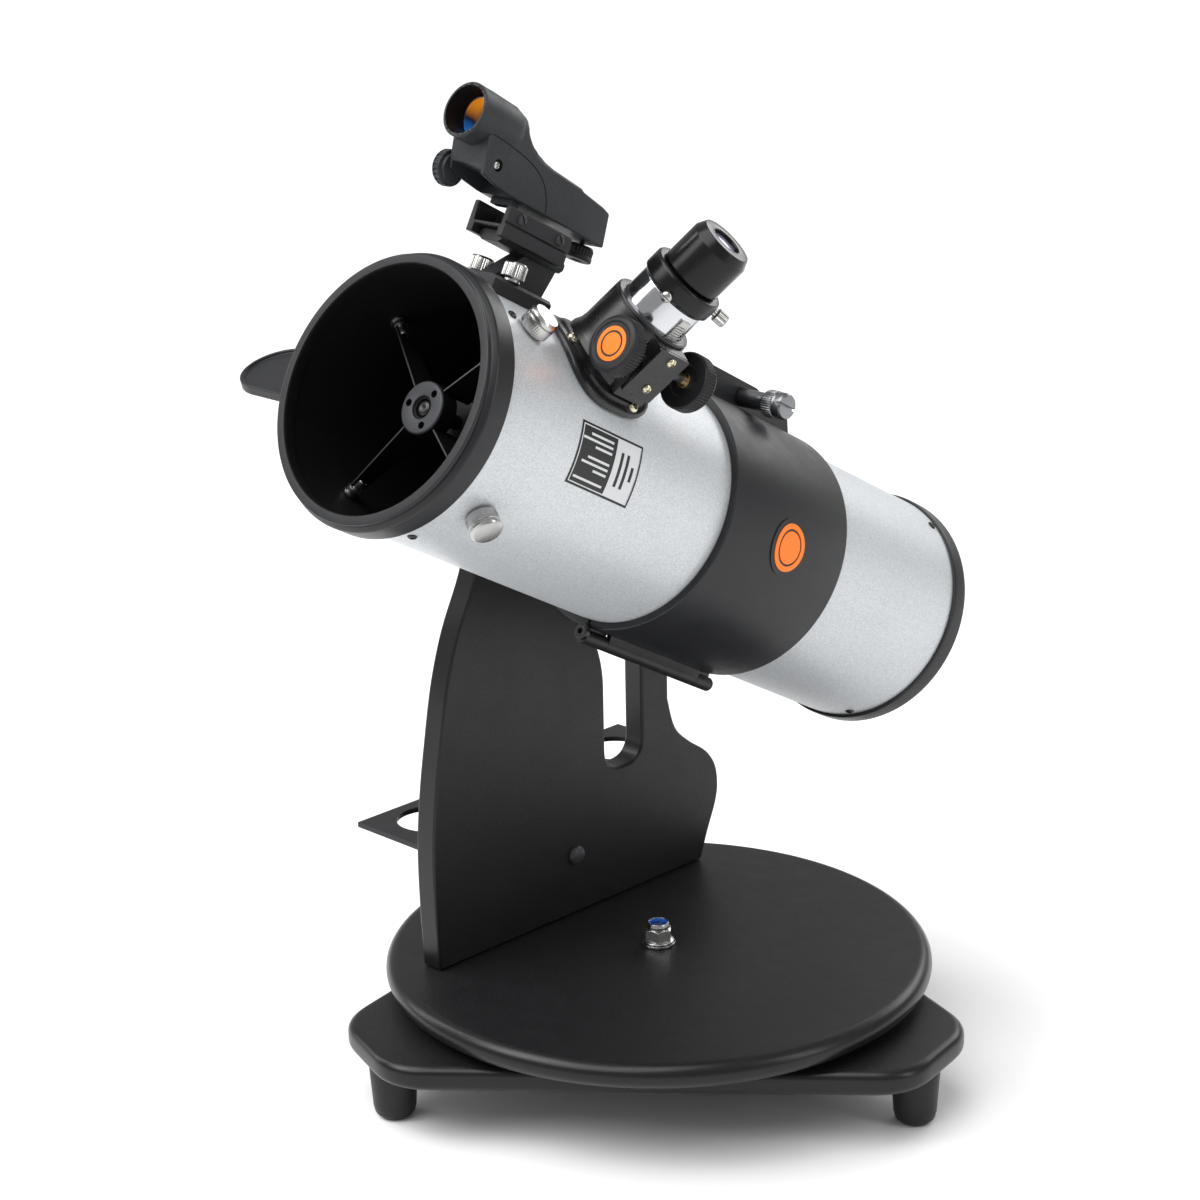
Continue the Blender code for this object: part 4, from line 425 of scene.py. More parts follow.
def finish(name, colour, roughness, metallic=0.0, grain=2500.0, depth=0.02, mottle=0.12, wander=0.06,
           specular=0.32, coat=0.0):
    """Fine surface grain, slow changes of tone and gloss, and faint handling marks."""
    made = Nodes(name)
    slow = made.noise(28.0, 4.0)
    fine = made.noise(grain, 2.0)
    shade = made.mixed(made.ranged(slow, 0.0, 1.0), tone(colour, 1.0 - mottle), tone(colour, 1.0 + mottle))
    flecked = made.mixed(made.ranged(fine, 0.0, 1.0, 0.35, 0.65), shade, tone(colour, 1.0 + 1.5 * mottle))
    made.link(flecked, made.shader.inputs["Base Color"])
    smudge = made.noise(75.0, 6.0, 0.7)
    made.link(made.ranged(smudge, roughness - wander, roughness + wander), made.shader.inputs["Roughness"])
    made.shader.inputs["Metallic"].default_value = metallic
    made.shader.inputs["Specular IOR Level"].default_value = specular
    made.shader.inputs["Coat Weight"].default_value = coat
    made.shader.inputs["Coat Roughness"].default_value = 0.15
    made.link(made.bump(fine, depth * MM), made.shader.inputs["Normal"])
    return made.material


def silver_paint():
    """Silver paint: bright and dark flakes a fraction of a millimetre across under a satin coat."""
    made = Nodes("silver_paint")
    cells = made.add("ShaderNodeTexVoronoi")
    cells.inputs["Scale"].default_value = 2100.0
    made.link(made.coordinates.outputs["Object"], cells.inputs["Vector"])
    grey = made.add("ShaderNodeSeparateColor")
    made.link(cells.outputs["Color"], grey.inputs["Color"])
    flakes = made.mixed(grey.outputs["Red"], (0.43, 0.455, 0.475), (0.66, 0.68, 0.70))
    slow = made.noise(14.0, 3.0)
    cloud = made.mixed(made.ranged(slow, 0.0, 0.22), flakes, (0.69, 0.71, 0.73))
    made.link(cloud, made.shader.inputs["Base Color"])
    made.link(made.ranged(grey.outputs["Green"], 0.34, 0.50, 0.0, 1.0), made.shader.inputs["Roughness"])
    made.shader.inputs["Metallic"].default_value = 0.35
    made.shader.inputs["Coat Weight"].default_value = 0.12
    made.shader.inputs["Coat Roughness"].default_value = 0.22
    made.link(made.bump(made.noise(1900.0, 2.0), 0.012 * MM), made.shader.inputs["Normal"])
    return made.material


def board_paint(name, face_axis):
    """Black laminate: pebbled on the flat faces, smoother and glossier on the rounded edges."""
    made = Nodes(name)
    parts = made.add("ShaderNodeSeparateXYZ")
    made.link(made.coordinates.outputs["Normal"], parts.inputs[0])
    size = made.add("ShaderNodeMath", operation="ABSOLUTE")
    made.link(parts.outputs[face_axis], size.inputs[0])
    flat = made.ranged(size.outputs[0], 0.0, 1.0, 0.9, 0.99)
    pebbles = made.noise(1100.0, 3.0, 0.6)
    slow = made.noise(9.0, 4.0)
    base = made.mixed(made.ranged(slow, 0.0, 1.0), (0.0045, 0.0043, 0.0050), (0.0075, 0.0072, 0.0080))
    tops = made.mixed(made.times(made.ranged(pebbles, 0.0, 1.0, 0.45, 0.7), flat), base,
                      (0.019, 0.0185, 0.0205))
    made.link(tops, made.shader.inputs["Base Color"])
    scuffs = made.noise(60.0, 7.0, 0.75)
    made.link(made.mixed(flat, made.ranged(scuffs, 0.27, 0.33), made.ranged(scuffs, 0.36, 0.46)),
              made.shader.inputs["Roughness"])
    made.shader.inputs["Specular IOR Level"].default_value = 0.32
    made.link(made.bump(pebbles, 0.09 * MM, made.ranged(flat, 0.0, 1.0, 0.0, 1.0)),
              made.shader.inputs["Normal"])
    return made.material


def coated_lens(name, painted_reflection_low, painted_reflection_high, painted_glow, metallic, coat):
    """A coated lens with a painted reflection whose colour changes across it, and a painted glow that stands
    for the light it passes.
    """
    made = Nodes(name)
    parts = made.add("ShaderNodeSeparateXYZ")
    made.link(made.coordinates.outputs["Generated"], parts.inputs[0])
    # The ramp is a painted reflection: its colour runs from the low colour through a dark middle to the high
    # colour across the lens, wobbled by noise.
    ramp = made.add("ShaderNodeValToRGB")
    ramp.color_ramp.elements[0].position = 0.15
    ramp.color_ramp.elements[0].color = (*painted_reflection_low, 1.0)
    ramp.color_ramp.elements[1].position = 0.9
    ramp.color_ramp.elements[1].color = (*painted_reflection_high, 1.0)
    middle = ramp.color_ramp.elements.new(0.48)
    middle.color = (0.012, 0.010, 0.030, 1.0)
    wave = made.noise(90.0, 1.0)
    shift = made.add("ShaderNodeMath", operation="ADD")
    made.link(parts.outputs["Z"], shift.inputs[0])
    made.link(made.ranged(wave, -0.08, 0.08), shift.inputs[1])
    made.link(shift.outputs[0], ramp.inputs["Fac"])
    made.link(ramp.outputs["Color"], made.shader.inputs["Base Color"])
    # Painted glow: the lens emits the ramp's colours, though it is no lamp.
    made.link(ramp.outputs["Color"], made.shader.inputs["Emission Color"])
    made.shader.inputs["Emission Strength"].default_value = painted_glow
    made.link(made.ranged(made.noise(40.0, 4.0), 0.03, 0.09), made.shader.inputs["Roughness"])
    made.shader.inputs["Metallic"].default_value = metallic
    made.shader.inputs["Coat Weight"].default_value = coat
    made.shader.inputs["Coat Roughness"].default_value = 0.03
    return made.material


SILVER = silver_paint()
BOARD = board_paint("board_laminate", "Z")
ARM_BOARD = board_paint("arm_laminate", "X")
RING_PLASTIC = finish("ring_plastic", (0.012, 0.0125, 0.014), 0.36, grain=1700.0, depth=0.045, mottle=0.18)
BAND_PLASTIC = finish("band_plastic", (0.0115, 0.012, 0.0135), 0.40, grain=2100.0, depth=0.03)
MOULDED = finish("moulded_plastic", (0.0145, 0.015, 0.0165), 0.46, grain=1500.0, depth=0.06, mottle=0.16)
FINDER_PLASTIC = finish("finder_plastic", (0.0165, 0.0180, 0.0205), 0.48, grain=1150.0, depth=0.11,
                        mottle=0.26)
CAST_BLACK = finish("focuser_black", (0.0075, 0.0075, 0.0085), 0.28, grain=1200.0, depth=0.02,
                    specular=0.45)
ANODISED = finish("satin_anodised", (0.006, 0.006, 0.0065), 0.24, metallic=0.2, grain=3000.0, depth=0.006)
RUBBER = finish("grip_rubber", (0.012, 0.012, 0.0135), 0.42, grain=1800.0, depth=0.03, mottle=0.2)
FOOT_RUBBER = finish("foot_rubber", (0.008, 0.008, 0.0085), 0.46, grain=1300.0, depth=0.04, mottle=0.2)
CHROME = finish("chrome", (0.56, 0.57, 0.59), 0.11, metallic=1.0, grain=900.0, depth=0.001, mottle=0.03,
                wander=0.04)
NICKEL = finish("nickel_plate", (0.44, 0.437, 0.425), 0.24, metallic=1.0, grain=1500.0, depth=0.003,
                mottle=0.06)
DARK_CHROME = finish("dark_chrome", (0.22, 0.225, 0.235), 0.30, metallic=1.0, grain=1200.0, depth=0.002,
                     mottle=0.08)
YELLOW_ZINC = finish("yellow_zinc", (0.58, 0.54, 0.40), 0.22, metallic=1.0, grain=1500.0, depth=0.003,
                     mottle=0.08)
STEEL = finish("turned_steel", (0.40, 0.40, 0.41), 0.30, metallic=1.0, grain=2200.0, depth=0.006,
               mottle=0.08)
BRASS = finish("brass", (0.72, 0.52, 0.22), 0.28, metallic=1.0, grain=2000.0, depth=0.004, mottle=0.08)
FLAT_BLACK = finish("flat_black", (0.0055, 0.0050, 0.0055), 0.6, grain=1400.0, depth=0.03, mottle=0.3,
                    specular=0.12)
HUB_GREY = finish("hub_grey", (0.040, 0.041, 0.045), 0.40, metallic=0.4, grain=1600.0, depth=0.03,
                  mottle=0.2)
NYLON = finish("natural_nylon", (0.74, 0.73, 0.68), 0.45, grain=1200.0, depth=0.02)
BLUE_NYLON = finish("blue_nylon", (0.015, 0.090, 0.42), 0.35, grain=1200.0, depth=0.01)
ORANGE = finish("orange_print", (0.92, 0.20, 0.012), 0.38, grain=2500.0, depth=0.006, mottle=0.04)
PRINT_BLACK = finish("label_black", (0.014, 0.014, 0.015), 0.32, grain=3000.0, depth=0.004)
PRINT_WHITE = finish("label_white", (0.62, 0.63, 0.64), 0.36, grain=3000.0, depth=0.004, mottle=0.04)
MIRROR = finish("mirror_coating", (0.90, 0.91, 0.93), 0.04, metallic=1.0, grain=600.0, depth=0.0,
                mottle=0.02, wander=0.02)
# Both lenses carry a painted reflection and a painted glow; the finder's glow is the stronger.
FINDER_GLASS = coated_lens("finder_glass", (0.010, 0.25, 0.85), (0.90, 0.30, 0.02), painted_glow=0.45,
                           metallic=0.65, coat=1.0)
EYE_GLASS = coated_lens("eye_glass", (0.13, 0.12, 0.21), (0.20, 0.19, 0.29), painted_glow=0.05, metallic=0.1,
                        coat=0.2)


# Pieces

def hex_nut(name, node, cad_frame, place, across, bore, body, bevel):
    """A plain nut on a bolt along X, as long as its CAD node."""
    low, high = span(node, cad_frame)
    nut = prism(scaled(hexagon(across)), low.x, high.x, "X")
    hole = rod(bore * MM, low.x - PAST, high.x + PAST, 32, "X")
    piece(name, carved(nut, hole), STEEL, place, body, [node], bevel)


def piece(name, mesh, material, place, body, nodes=(), bevel=0.0, inner=None):
    """A shown piece on a CAD body, standing for the given CAD nodes. inner is (material, test) for a second
    finish on the faces that pass the test, given a face's centre and normal in the piece's own frame."""
    data = bpy.data.meshes.new(name)
    data.materials.append(material)
    if inner:
        data.materials.append(inner[0])
        for face in mesh.faces:
            face.material_index = 1 if inner[1](face.calc_center_median(), face.normal) else 0
    mesh.to_mesh(data)
    mesh.free()
    data.shade_smooth()
    data.set_sharp_from_angle(angle=math.radians(35.0))
    made = bpy.data.objects.new(name, data)
    bpy.context.scene.collection.objects.link(made)
    made.matrix_world = place
    if bevel:
        modifier = made.modifiers.new("edge", "BEVEL")
        modifier.width = bevel * MM
        modifier.segments = 3
        modifier.limit_method = "ANGLE"
        modifier.angle_limit = math.radians(38.0)
        modifier.harden_normals = False
    bpy.context.view_layer.update()
    if nodes:
        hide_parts(*nodes)
    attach(made, body)
    return made


def repaint(material, *nodes):
    for node in nodes:
        data = frame["nodes"][node].data
        data.materials.clear()
        data.materials.append(material)


def pan_head(radius, height, recess="cross"):
    """A screw head on z = 0, in millimetres, with a cross, slot or hexagonal recess."""
    head = spun([(0, -0.8), (radius, -0.8), (radius, 0.35 * height), (0.72 * radius, 0.85 * height),
                 (0.3 * radius, height), (0, height)], 32, soft=0.25)
    wide = 0.62 * radius
    thin = 0.13 * radius
    low = 0.4 * height
    top = height + 1
    if recess == "cross":
        return carved(head, box_mm((-wide, -thin, low), (wide, thin, top)),
                      box_mm((-thin, -wide, low), (thin, wide, top)))
    if recess == "slot":
        return carved(head, box_mm((-2 * radius, -1.3 * thin, low), (2 * radius, 1.3 * thin, top)))
    return carved(head, prism(scaled(hexagon(0.95 * radius)), low * MM, top * MM))


def ground_board():
    """A triangle with cut, rounded corners and bullnose edges."""
    low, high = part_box("ground_board")
    side = 133.0 * MM
    corner = 200.0 * MM
    round_radius = 26.0 * MM
    edge = 5.5 * MM

    def outline(inset):
        corners = []
        for index in range(3):
            direction = math.radians(-109.0 + 120.0 * index)
            half = (2 * (side - inset) - (corner - inset)) * math.tan(math.radians(30.0))
            along = Vector((math.cos(direction), math.sin(direction)))
            sideways = Vector((-along.y, along.x))
            corners.append(along * (corner - inset) - sideways * half)
            corners.append(along * (corner - inset) + sideways * half)
        return soften(corners, round_radius * 0.86, 9)

    loops = []
    for bottom in (True, False):
        for step in range(7):
            angle = math.radians(90.0 * (step if bottom else 6 - step) / 6)
            inset = edge * (1 - math.sin(angle))
            drop = edge * (1 - math.cos(angle))
            height = low.z + drop if bottom else high.z - drop
            loops.append([Vector((x, y, height)) for x, y in outline(inset)])
    loops.sort(key=lambda loop: loop[0].z)
    place = Matrix.Translation((AZ.translation.x, AZ.translation.y, 0.0))
    piece("base_board", lofted(loops), BOARD, place, "base", ["ground_board"])


def feet():
    """Three tapered rubber feet."""
    for name in ("foot_front_left", "foot_front_right", "foot_rear"):
        low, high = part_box(name)
        top = (high.z - low.z) / MM
        profile = [(0, 0), (8.6, 0), (12.2, 3.4), (12.7, 6.5), (13.0, 7.1), (15.0, top), (0, top)]
        place = Matrix.Translation(((low.x + high.x) / 2, (low.y + high.y) / 2, low.z))
        piece("rubber_" + name, spun(profile, 64, soft=2.0), FOOT_RUBBER, place, "base", [name])


def turntable():
    """The round board with its full-round edge."""
    radius = reach("turntable", AZ, "Z") / MM
    low = span("turntable", AZ)[0].z / MM
    half_circle = arc((radius - 8.0, low / 2), 8.0, -90, 90, 14)
    profile = [(8.2, low), *half_circle, (8.2, 0.0)]
    piece("turntable_disc", spun(profile, 192, soft=0), BOARD, AZ, "turntable", ["turntable"])


def lock_nut():
    """The flange lock nut on the pivot, with its blue insert."""
    low, high = span("lock_nut", AZ)
    base = low.z / MM
    top = high.z / MM
    shoulder = base + 2.2
    hex_top = top - 3.6
    nut = prism(scaled(hexagon(15.5, 12.0)), (base + 1.0) * MM, hex_top * MM)
    cone = spun([(0, base + 1.0), (9.6, base + 1.0), (9.6, hex_top - 1.6), (7.4, hex_top), (0, hex_top)],
                64, soft=0)
    nut = carved(nut, cone, operation="INTERSECT")
    flange = spun([(5.3, base), (9.8, base), (9.8, base + 0.9), (7.6, shoulder), (5.3, shoulder)], 64,
                  soft=0.3)
    crown = spun([(5.3, hex_top - 0.6), (7.0, hex_top - 0.6), (7.0, hex_top + 1.6), (6.4, top), (5.9, top),
                  (5.9, hex_top + 0.4), (5.3, hex_top + 0.4)], 64, soft=0.3)
    nut = carved(nut, rod(5.3 * MM, base * MM, top * MM))
    piece("pivot_lock_nut", gathered(nut, flange, crown), NICKEL, AZ, "base", ["lock_nut"], 0.15)
    ring = spun([(4.95, hex_top + 0.8), (5.8, hex_top + 0.8), (5.8, top - 0.4), (5.4, top - 0.2),
                 (4.95, top - 0.5)],
                48, soft=0.2)
    piece("lock_nut_insert", ring, BLUE_NYLON, AZ, "base", ["nut_insert"])


def pivot_bolt():
    """The threaded pivot bolt and its washer, and the plain bearings' colour."""
    washer_low, washer_high = span("pivot_washer", AZ)
    washer = spun([(5.4, washer_low.z / MM), (10.5, washer_low.z / MM), (10.5, washer_high.z / MM),
                   (5.4, washer_high.z / MM)], 64, soft=0.25)
    piece("pivot_flat_washer", washer, NICKEL, AZ, "base", ["pivot_washer"])
    bolt_low, bolt_high = span("pivot_bolt", AZ)
    bottom = bolt_low.z / MM
    thread = [(0, bottom), (8.0, bottom), (12.0, bottom + 2.6), (12.0, bottom + 4.0), (4.9, bottom + 4.0)]
    end = bolt_high.z / MM
    height = end - 14.0
    while height < end - 1.6:
        thread += [(4.15, height), (4.15, height + 0.35), (4.75, height + 0.75)]
        height += 1.5
    thread += [(4.0, end), (0, end)]
    piece("pivot_coach_bolt", spun(thread, 48, soft=0), STEEL, AZ, "base", ["pivot_bolt"])
    repaint(NYLON, "azimuth_bearing", "pivot_bush", "altitude_bush", "altitude_washer")


def side_arm():
    """The upright board with its hand slot."""
    low, high = span("side_arm", AZ)
    axis_height = (ALT.translation - AZ.translation).z / MM
    front = [(-120.0, 0.3), (-122.0, 45.0), (-122.0, 80.0), (-119.0, 112.0)]
    upper = ((-113.6, -129.9), (-106.4, -93.9), (-96.3, -62.9), (-80.7, -30.4), (-72.0, 0.0))
    front += [(y, axis_height + z) for y, z in upper]
    top = arc((6.9, axis_height), 78.9, 180, 0, 48)
    rear = [(85.8, 122.0), (92.5, 100.5), (106.0, 87.0), (122.0, 75.5), (130.6, 63.5), (133.0, 50.0),
            (130.8, 37.0), (122.5, 17.5), (116.0, 0.3)]
    outline = smoothed(front)[:-1] + top + smoothed(rear)
    board = prism(scaled(outline), low.x, high.x, "X")
    slot_top = axis_height - 66.0
    slot = soften([(27.0, 88.0), (61.0, 88.0), (61.0, slot_top), (9.0, slot_top), (27.0, 160.0)], 15.0, 10)
    through = 0.02
    board = carved(board, prism(scaled(slot), low.x - through, high.x + through, "X"),
                   moved(rod(9.4 * MM, low.x - through, high.x + through, 48, "X"),
                         Matrix.Translation((0.0, (ALT.translation - AZ.translation).y, axis_height * MM))))
    piece("upright_board", board, ARM_BOARD, AZ, "turntable", ["side_arm"], 1.6)


def eyepiece_rack():
    """The folded shelf with four holes, and the dome-head bolt that holds it."""
    low, high = span("eyepiece_rack", AZ)
    thick = 3.5 * MM
    outline = [(high.x, low.z), (high.x, high.z), (low.x, high.z), (low.x, high.z - thick),
               (high.x - thick, high.z - thick), (high.x - thick, low.z)]
    shelf = prism(outline, low.y, high.y, "Y")
    middle = (low.x + high.x) / 2
    pitch = (high.y - low.y - 68.0 * MM) / 3
    holes = []
    for index in range(4):
        place = Matrix.Translation((middle, low.y + 34.0 * MM + pitch * index, high.z))
        holes.append(moved(rod(20.5 * MM, -3 * thick, thick, 64), place))
    piece("spare_eyepiece_rack", carved(shelf, *holes), MOULDED, AZ, "turntable", ["eyepiece_rack"],
          0.7)
    bolt_low, bolt_high = span("rack_bolt", AZ)
    centre = (bolt_low + bolt_high) / 2
    face = high.x + (bolt_high.x - high.x) - 3.4 * MM
    place = AZ @ Matrix.Translation((0.0, centre.y, centre.z))
    dome = [(0, -4), (5.0, -4), (6.6, 0.0), (6.3, 1.4), (5.0, 2.7), (2.8, 3.4), (0, 3.6)]
    head = moved(spun(dome, 48, "X", soft=1.0), Matrix.Translation((face, 0.0, 0.0)))
    shank = rod(2.9 * MM, bolt_low.x, face - 3.0 * MM, 32, "X")
    piece("rack_dome_bolt", gathered(head, shank), HUB_GREY, place, "turntable", ["rack_bolt"])
    hex_nut("rack_hex_nut", "rack_nut", AZ, place, 10.6, 3.1, "turntable", 0.4)


def altitude_knob():
    """The eight-lobed tension knob on the outside of the arm."""
    low, high = span("altitude_knob", BEARING)
    levels = ((0.80, low.x), (0.94, low.x + 1.2 * MM), (1.0, low.x + 4.5 * MM), (1.0, high.x - 6.0 * MM),
              (0.92, high.x - 2.0 * MM), (0.6, high.x))
    loops = []
    for share, x in levels:
        loop = []
        for index in range(96):
            angle = math.tau * index / 96
            radius = (27.0 + 2.2 * math.cos(8 * angle)) * share * MM
            loop.append(Vector((x, radius * math.cos(angle), radius * math.sin(angle))))
        loops.append(loop)
    knob = carved(lofted(loops), turned(scaled([(0, low.x / MM - 1), (11.0, low.x / MM - 1),
                                                (11.0, low.x / MM + 1.0), (0, low.x / MM + 1.0)]), 48, "X"),
                  rod(5.3 * MM, low.x + 5 * MM, high.x + 1 * MM, 32, "X"))
    piece("tension_knob", knob, MOULDED, BEARING, "altitude_knob", ["altitude_knob"], 0.5)
    repaint(STEEL, "altitude_bolt")


# Tube

def half_inside(limit):
    """A test for faces that look at the tube's axis from inside a radius."""
    def test(centre, normal):
        out = Vector((centre.x, 0.0, centre.z))
        return out.length < limit and normal.dot(out) < 0
    return test


def tube():
    """The silver tube, flat black inside, with the drawtube's hole."""
    low, high = span("optical_tube", ALT)
    inner = TUBE_R - TUBE_WALL
    body = pipe(inner, TUBE_R, low.y, high.y, 160, "Y")
    hole = moved(rod(22.7 * MM, above(-25), above(20), 64), facing(FOCUS_ANGLE, FOCUS_STATION))
    piece("telescope_tube", carved(body, hole), SILVER, ALT, "tube", ["optical_tube"],
          inner=(FLAT_BLACK, half_inside(TUBE_R - 0.2 * MM)))


def front_ring():
    """The grooved ring round the tube's mouth."""
    front = FRONT / MM
    profile = [(69.2, front + 0.9), (69.7, front), (74.5, front), (74.9, front + 0.4), (74.9, front + 1.6),
               (74.1, front + 2.0), (74.1, front + 3.0), (75.0, front + 3.4), (76.9, front + 5.2),
               (77.3, front + 6.2), (77.3, front + 18.3), (76.7, front + 19.1), (72.3, front + 19.1),
               (72.3, front + 7.7), (69.2, front + 7.7)]
    inside = half_inside(71.0 * MM)
    piece("front_cell_ring", spun(profile, 192, "Y", soft=0.22), RING_PLASTIC, ALT, "tube", ["front_ring"],
          inner=(FLAT_BLACK, inside))


def rear_ring():
    """The ring that closes the tube's rear round the mirror cell."""
    low, high = span("rear_ring", ALT)
    start = low.y / MM
    end = high.y / MM
    ring = spun([(72.3, start), (73.2, start), (73.9, start + 1.5), (73.9, end - 3.0), (70.8, end),
                 (42.0, end), (42.0, end - 5.6), (72.3, end - 5.6)], 160, "Y", soft=1.2)
    holes = []
    for place in around(3, 54.0, 90.0):
        holes.append(moved(rod(3.4 * MM, (end - 10) * MM, (end + 5) * MM, 24, "Y"), place))
    piece("rear_cell_ring", carved(ring, *holes), RING_PLASTIC, ALT, "tube", ["rear_ring"])


def ring_screws():
    """Small screws that hold both rings to the tube."""
    heads = []
    for distance, angles in ((34.0, (55.0, -70.0, 172.0)), (442.0, (55.0, -68.0, 172.0))):
        for angle in angles:
            heads.append(moved(pan_head(2.7, 1.5, "hex"), facing(angle, station(distance))
                               @ Matrix.Translation((0.0, 0.0, TUBE_R))))
    piece("ring_screws", gathered(*heads), CAST_BLACK, ALT, "tube")


def main_mirror():
    """The main mirror, slightly dished."""
    low, high = span("primary_mirror", ALT)
    radius = 57.0
    face = low.y / MM
    sag = 1.8
    dish = [(0, face + sag)]
    for step in range(1, 9):
        r = (radius - 1.0) * step / 8
        dish.append((r, face + sag * (1 - (r / radius) ** 2)))
    dish += [(radius, face + 0.8), (radius, high.y / MM), (0, high.y / MM)]
    piece("main_mirror", spun(dish, 128, "Y", soft=0), MIRROR, ALT, "tube", ["primary_mirror"])


def mirror_cell():
    """The cup that holds the main mirror, ribbed behind."""
    low, high = span("mirror_cell", ALT)
    back = high.y / MM
    plate = back - 6.0
    outer = reach("mirror_cell", ALT) / MM
    cell = spun([(0, plate), (57.3, plate), (57.3, low.y / MM), (60.8, low.y / MM), (60.8, plate),
                 (outer, plate), (outer, back), (0, back)], 128, "Y", soft=0.6)
    ribs = [spun([(14.0, back - 0.5), (17.0, back - 0.5), (17.0, back + 7.0), (14.0, back + 7.0)], 64, "Y",
                 0.4)]
    for index in range(6):
        rib = box_mm((16.0, back - 0.5, -1.2), (50.0, back + 6.0, 1.2))
        ribs.append(moved(rib, Matrix.Rotation(math.radians(60.0 * index + 30.0), 4, "Y")))
    piece("primary_cell", gathered(cell, *ribs), MOULDED, ALT, "tube", ["mirror_cell"])


def collimation_screws():
    """Three knurled screws behind the mirror cell."""
    for index in range(3):
        name = f"collimation_screw_{index + 1}"
        low, high = span(name, ALT)
        centre = (low + high) / 2
        head = high.y / MM - 9.0
        knob = spun([(0, low.y / MM), (2.4, low.y / MM), (2.4, head), (6.5, head), (6.5, head + 1),
                     (6.5, head + 7.6), (6.5, head + 8.2), (5.2, head + 9), (0, head + 9)], 32, "Y", 0.3,
                     (20, 0.6, head + 0.9, head + 7.7))
        place = ALT @ Matrix.Translation((centre.x, 0.0, centre.z))
        piece(f"collimation_thumbscrew_{index + 1}", knob, NICKEL, place, "tube", [name])


def diagonal():
    """The flat mirror that leans under the focuser, on its slanted holder."""
    holder_front = span("secondary_holder", ALT)[0].y
    towards = math.radians(FOCUS_ANGLE)

    def slanted(radius_mm, offset_mm, flat=None):
        loop = []
        for index in range(64):
            angle = math.tau * index / 64
            x = radius_mm * MM * math.cos(angle)
            z = radius_mm * MM * math.sin(angle)
            out = x * math.cos(towards) + z * math.sin(towards)
            loop.append(Vector((x, FOCUS_STATION - out - offset_mm * MM if flat is None else flat, z)))
        return loop

    slant = 5.0 * math.sqrt(2)
    piece("diagonal_mirror", lofted([slanted(17.0, slant), slanted(17.0, 0.0)]), MIRROR, ALT, "tube",
          ["secondary_mirror"], 0.3)
    piece("diagonal_holder", lofted([slanted(14.0, 0.0, holder_front), slanted(14.0, slant + 0.6)]),
          MOULDED, ALT, "tube", ["secondary_holder"], 0.5)


SPIDER_STATION = station(46.0)


def spider():
    """The hub plate with its centre screw and three smaller screws."""
    front = span("spider", ALT)[0].y / MM
    hub = spun([(0, front + 4.0), (5.2, front + 4.0), (5.2, front + 1.4), (6.6, front + 1.4), (6.6, front),
                (14.2, front), (15.0, front + 0.9), (15.0, front + 12), (9.0, front + 12),
                (5.0, front + 16), (4.0, front + 28.5), (0, front + 28.5)], 96, "Y", 0.4)
    holes = []
    for place in around(3, HUB_HOLE_CIRCLE, HUB_HOLE_DEG):
        holes.append(moved(rod(2.1 * MM, (front - 2) * MM, (front + 7) * MM, 24, "Y"), place))
    piece("spider_hub", carved(hub, *holes), HUB_GREY, ALT, "tube", ["spider"],
          inner=(FLAT_BLACK, lambda centre, normal: centre.y > (front + 1.2) * MM))
    centre_screw = spun([(0, front + 1.5), (0.9, front + 1.3), (2.6, front + 1.0), (4.2, front + 1.8),
                         (4.6, front + 3.8), (0, front + 3.8)], 48, "Y", 0.4)
    piece("hub_centre_screw", centre_screw, CAST_BLACK, ALT, "tube")
    screws = []
    for place in around(3, HUB_HOLE_CIRCLE, HUB_HOLE_DEG):
        head = spun([(0, front + 3.0), (1.7, front + 3.4), (1.7, front + 7), (0, front + 7)], 24, "Y", 0.3)
        screws.append(moved(head, place))
    piece("hub_collimation_screws", gathered(*screws), STEEL, ALT, "tube", ())


def spider_vanes():
    """Four thin tapered vanes and the fittings that hold them to the tube."""
    front = span("spider", ALT)[0].y / MM
    middle = SPIDER_STATION / MM
    vanes = []
    ends = []
    for angle in SPIDER_ANGLES:
        outline = [(front + 2, 13.5), (front + 24, 13.5), (middle + 4.5, 64.5), (middle - 4.5, 64.5)]
        vane = prism(scaled(soften(outline, 1.5, 3)), -0.5 * MM, 0.5 * MM, "X")
        vanes.append(moved(vane, facing(angle)))
        fitting = spun([(0, 58.5), (2.6, 58.5), (3.0, 59.2), (3.0, 63.6), (2.5, 64.0), (2.5, 64.8),
                        (4.1, 65.0), (4.1, 67.0), (3.4, 67.3), (3.4, 68.4), (4.3, 68.7), (4.3, 70.1),
                        (0, 70.1)], 32, soft=0.12)
        ends.append(moved(fitting, facing(angle, SPIDER_STATION)))
    piece("spider_vanes", gathered(*vanes), FLAT_BLACK, ALT, "tube", (), 0.12,
          inner=(HUB_GREY, lambda centre, normal: normal.y < -0.9))
    piece("spider_vane_ends", gathered(*ends), STEEL, ALT, "tube", ())


def spider_knobs():
    """The knurled knobs that tighten the vanes from outside the tube."""
    names = ("spider_knob_upper_near", "spider_knob_upper_far", "spider_knob_lower_far",
             "spider_knob_lower_near")
    for name, angle in zip(names, SPIDER_ANGLES):
        base = TUBE_R / MM + 0.7
        knob = spun([(0, 66.5), (2.1, 66.5), (2.1, base), (7.4, base), (7.9, base + 0.5), (7.9, base + 0.9),
                     (8.9, base + 1.1), (8.9, base + 7.6), (8.3, base + 7.9), (9.0, base + 8.5),
                     (9.0, base + 10.4), (7.6, base + 11.9), (0, base + 12.0)],
                    48, soft=0.12, ribs=(44, 0.4, base + 1.15, base + 7.45))
        piece(name + "_knurled", knob, NICKEL, ALT @ facing(angle, SPIDER_STATION), "tube", [name])


# Cradle

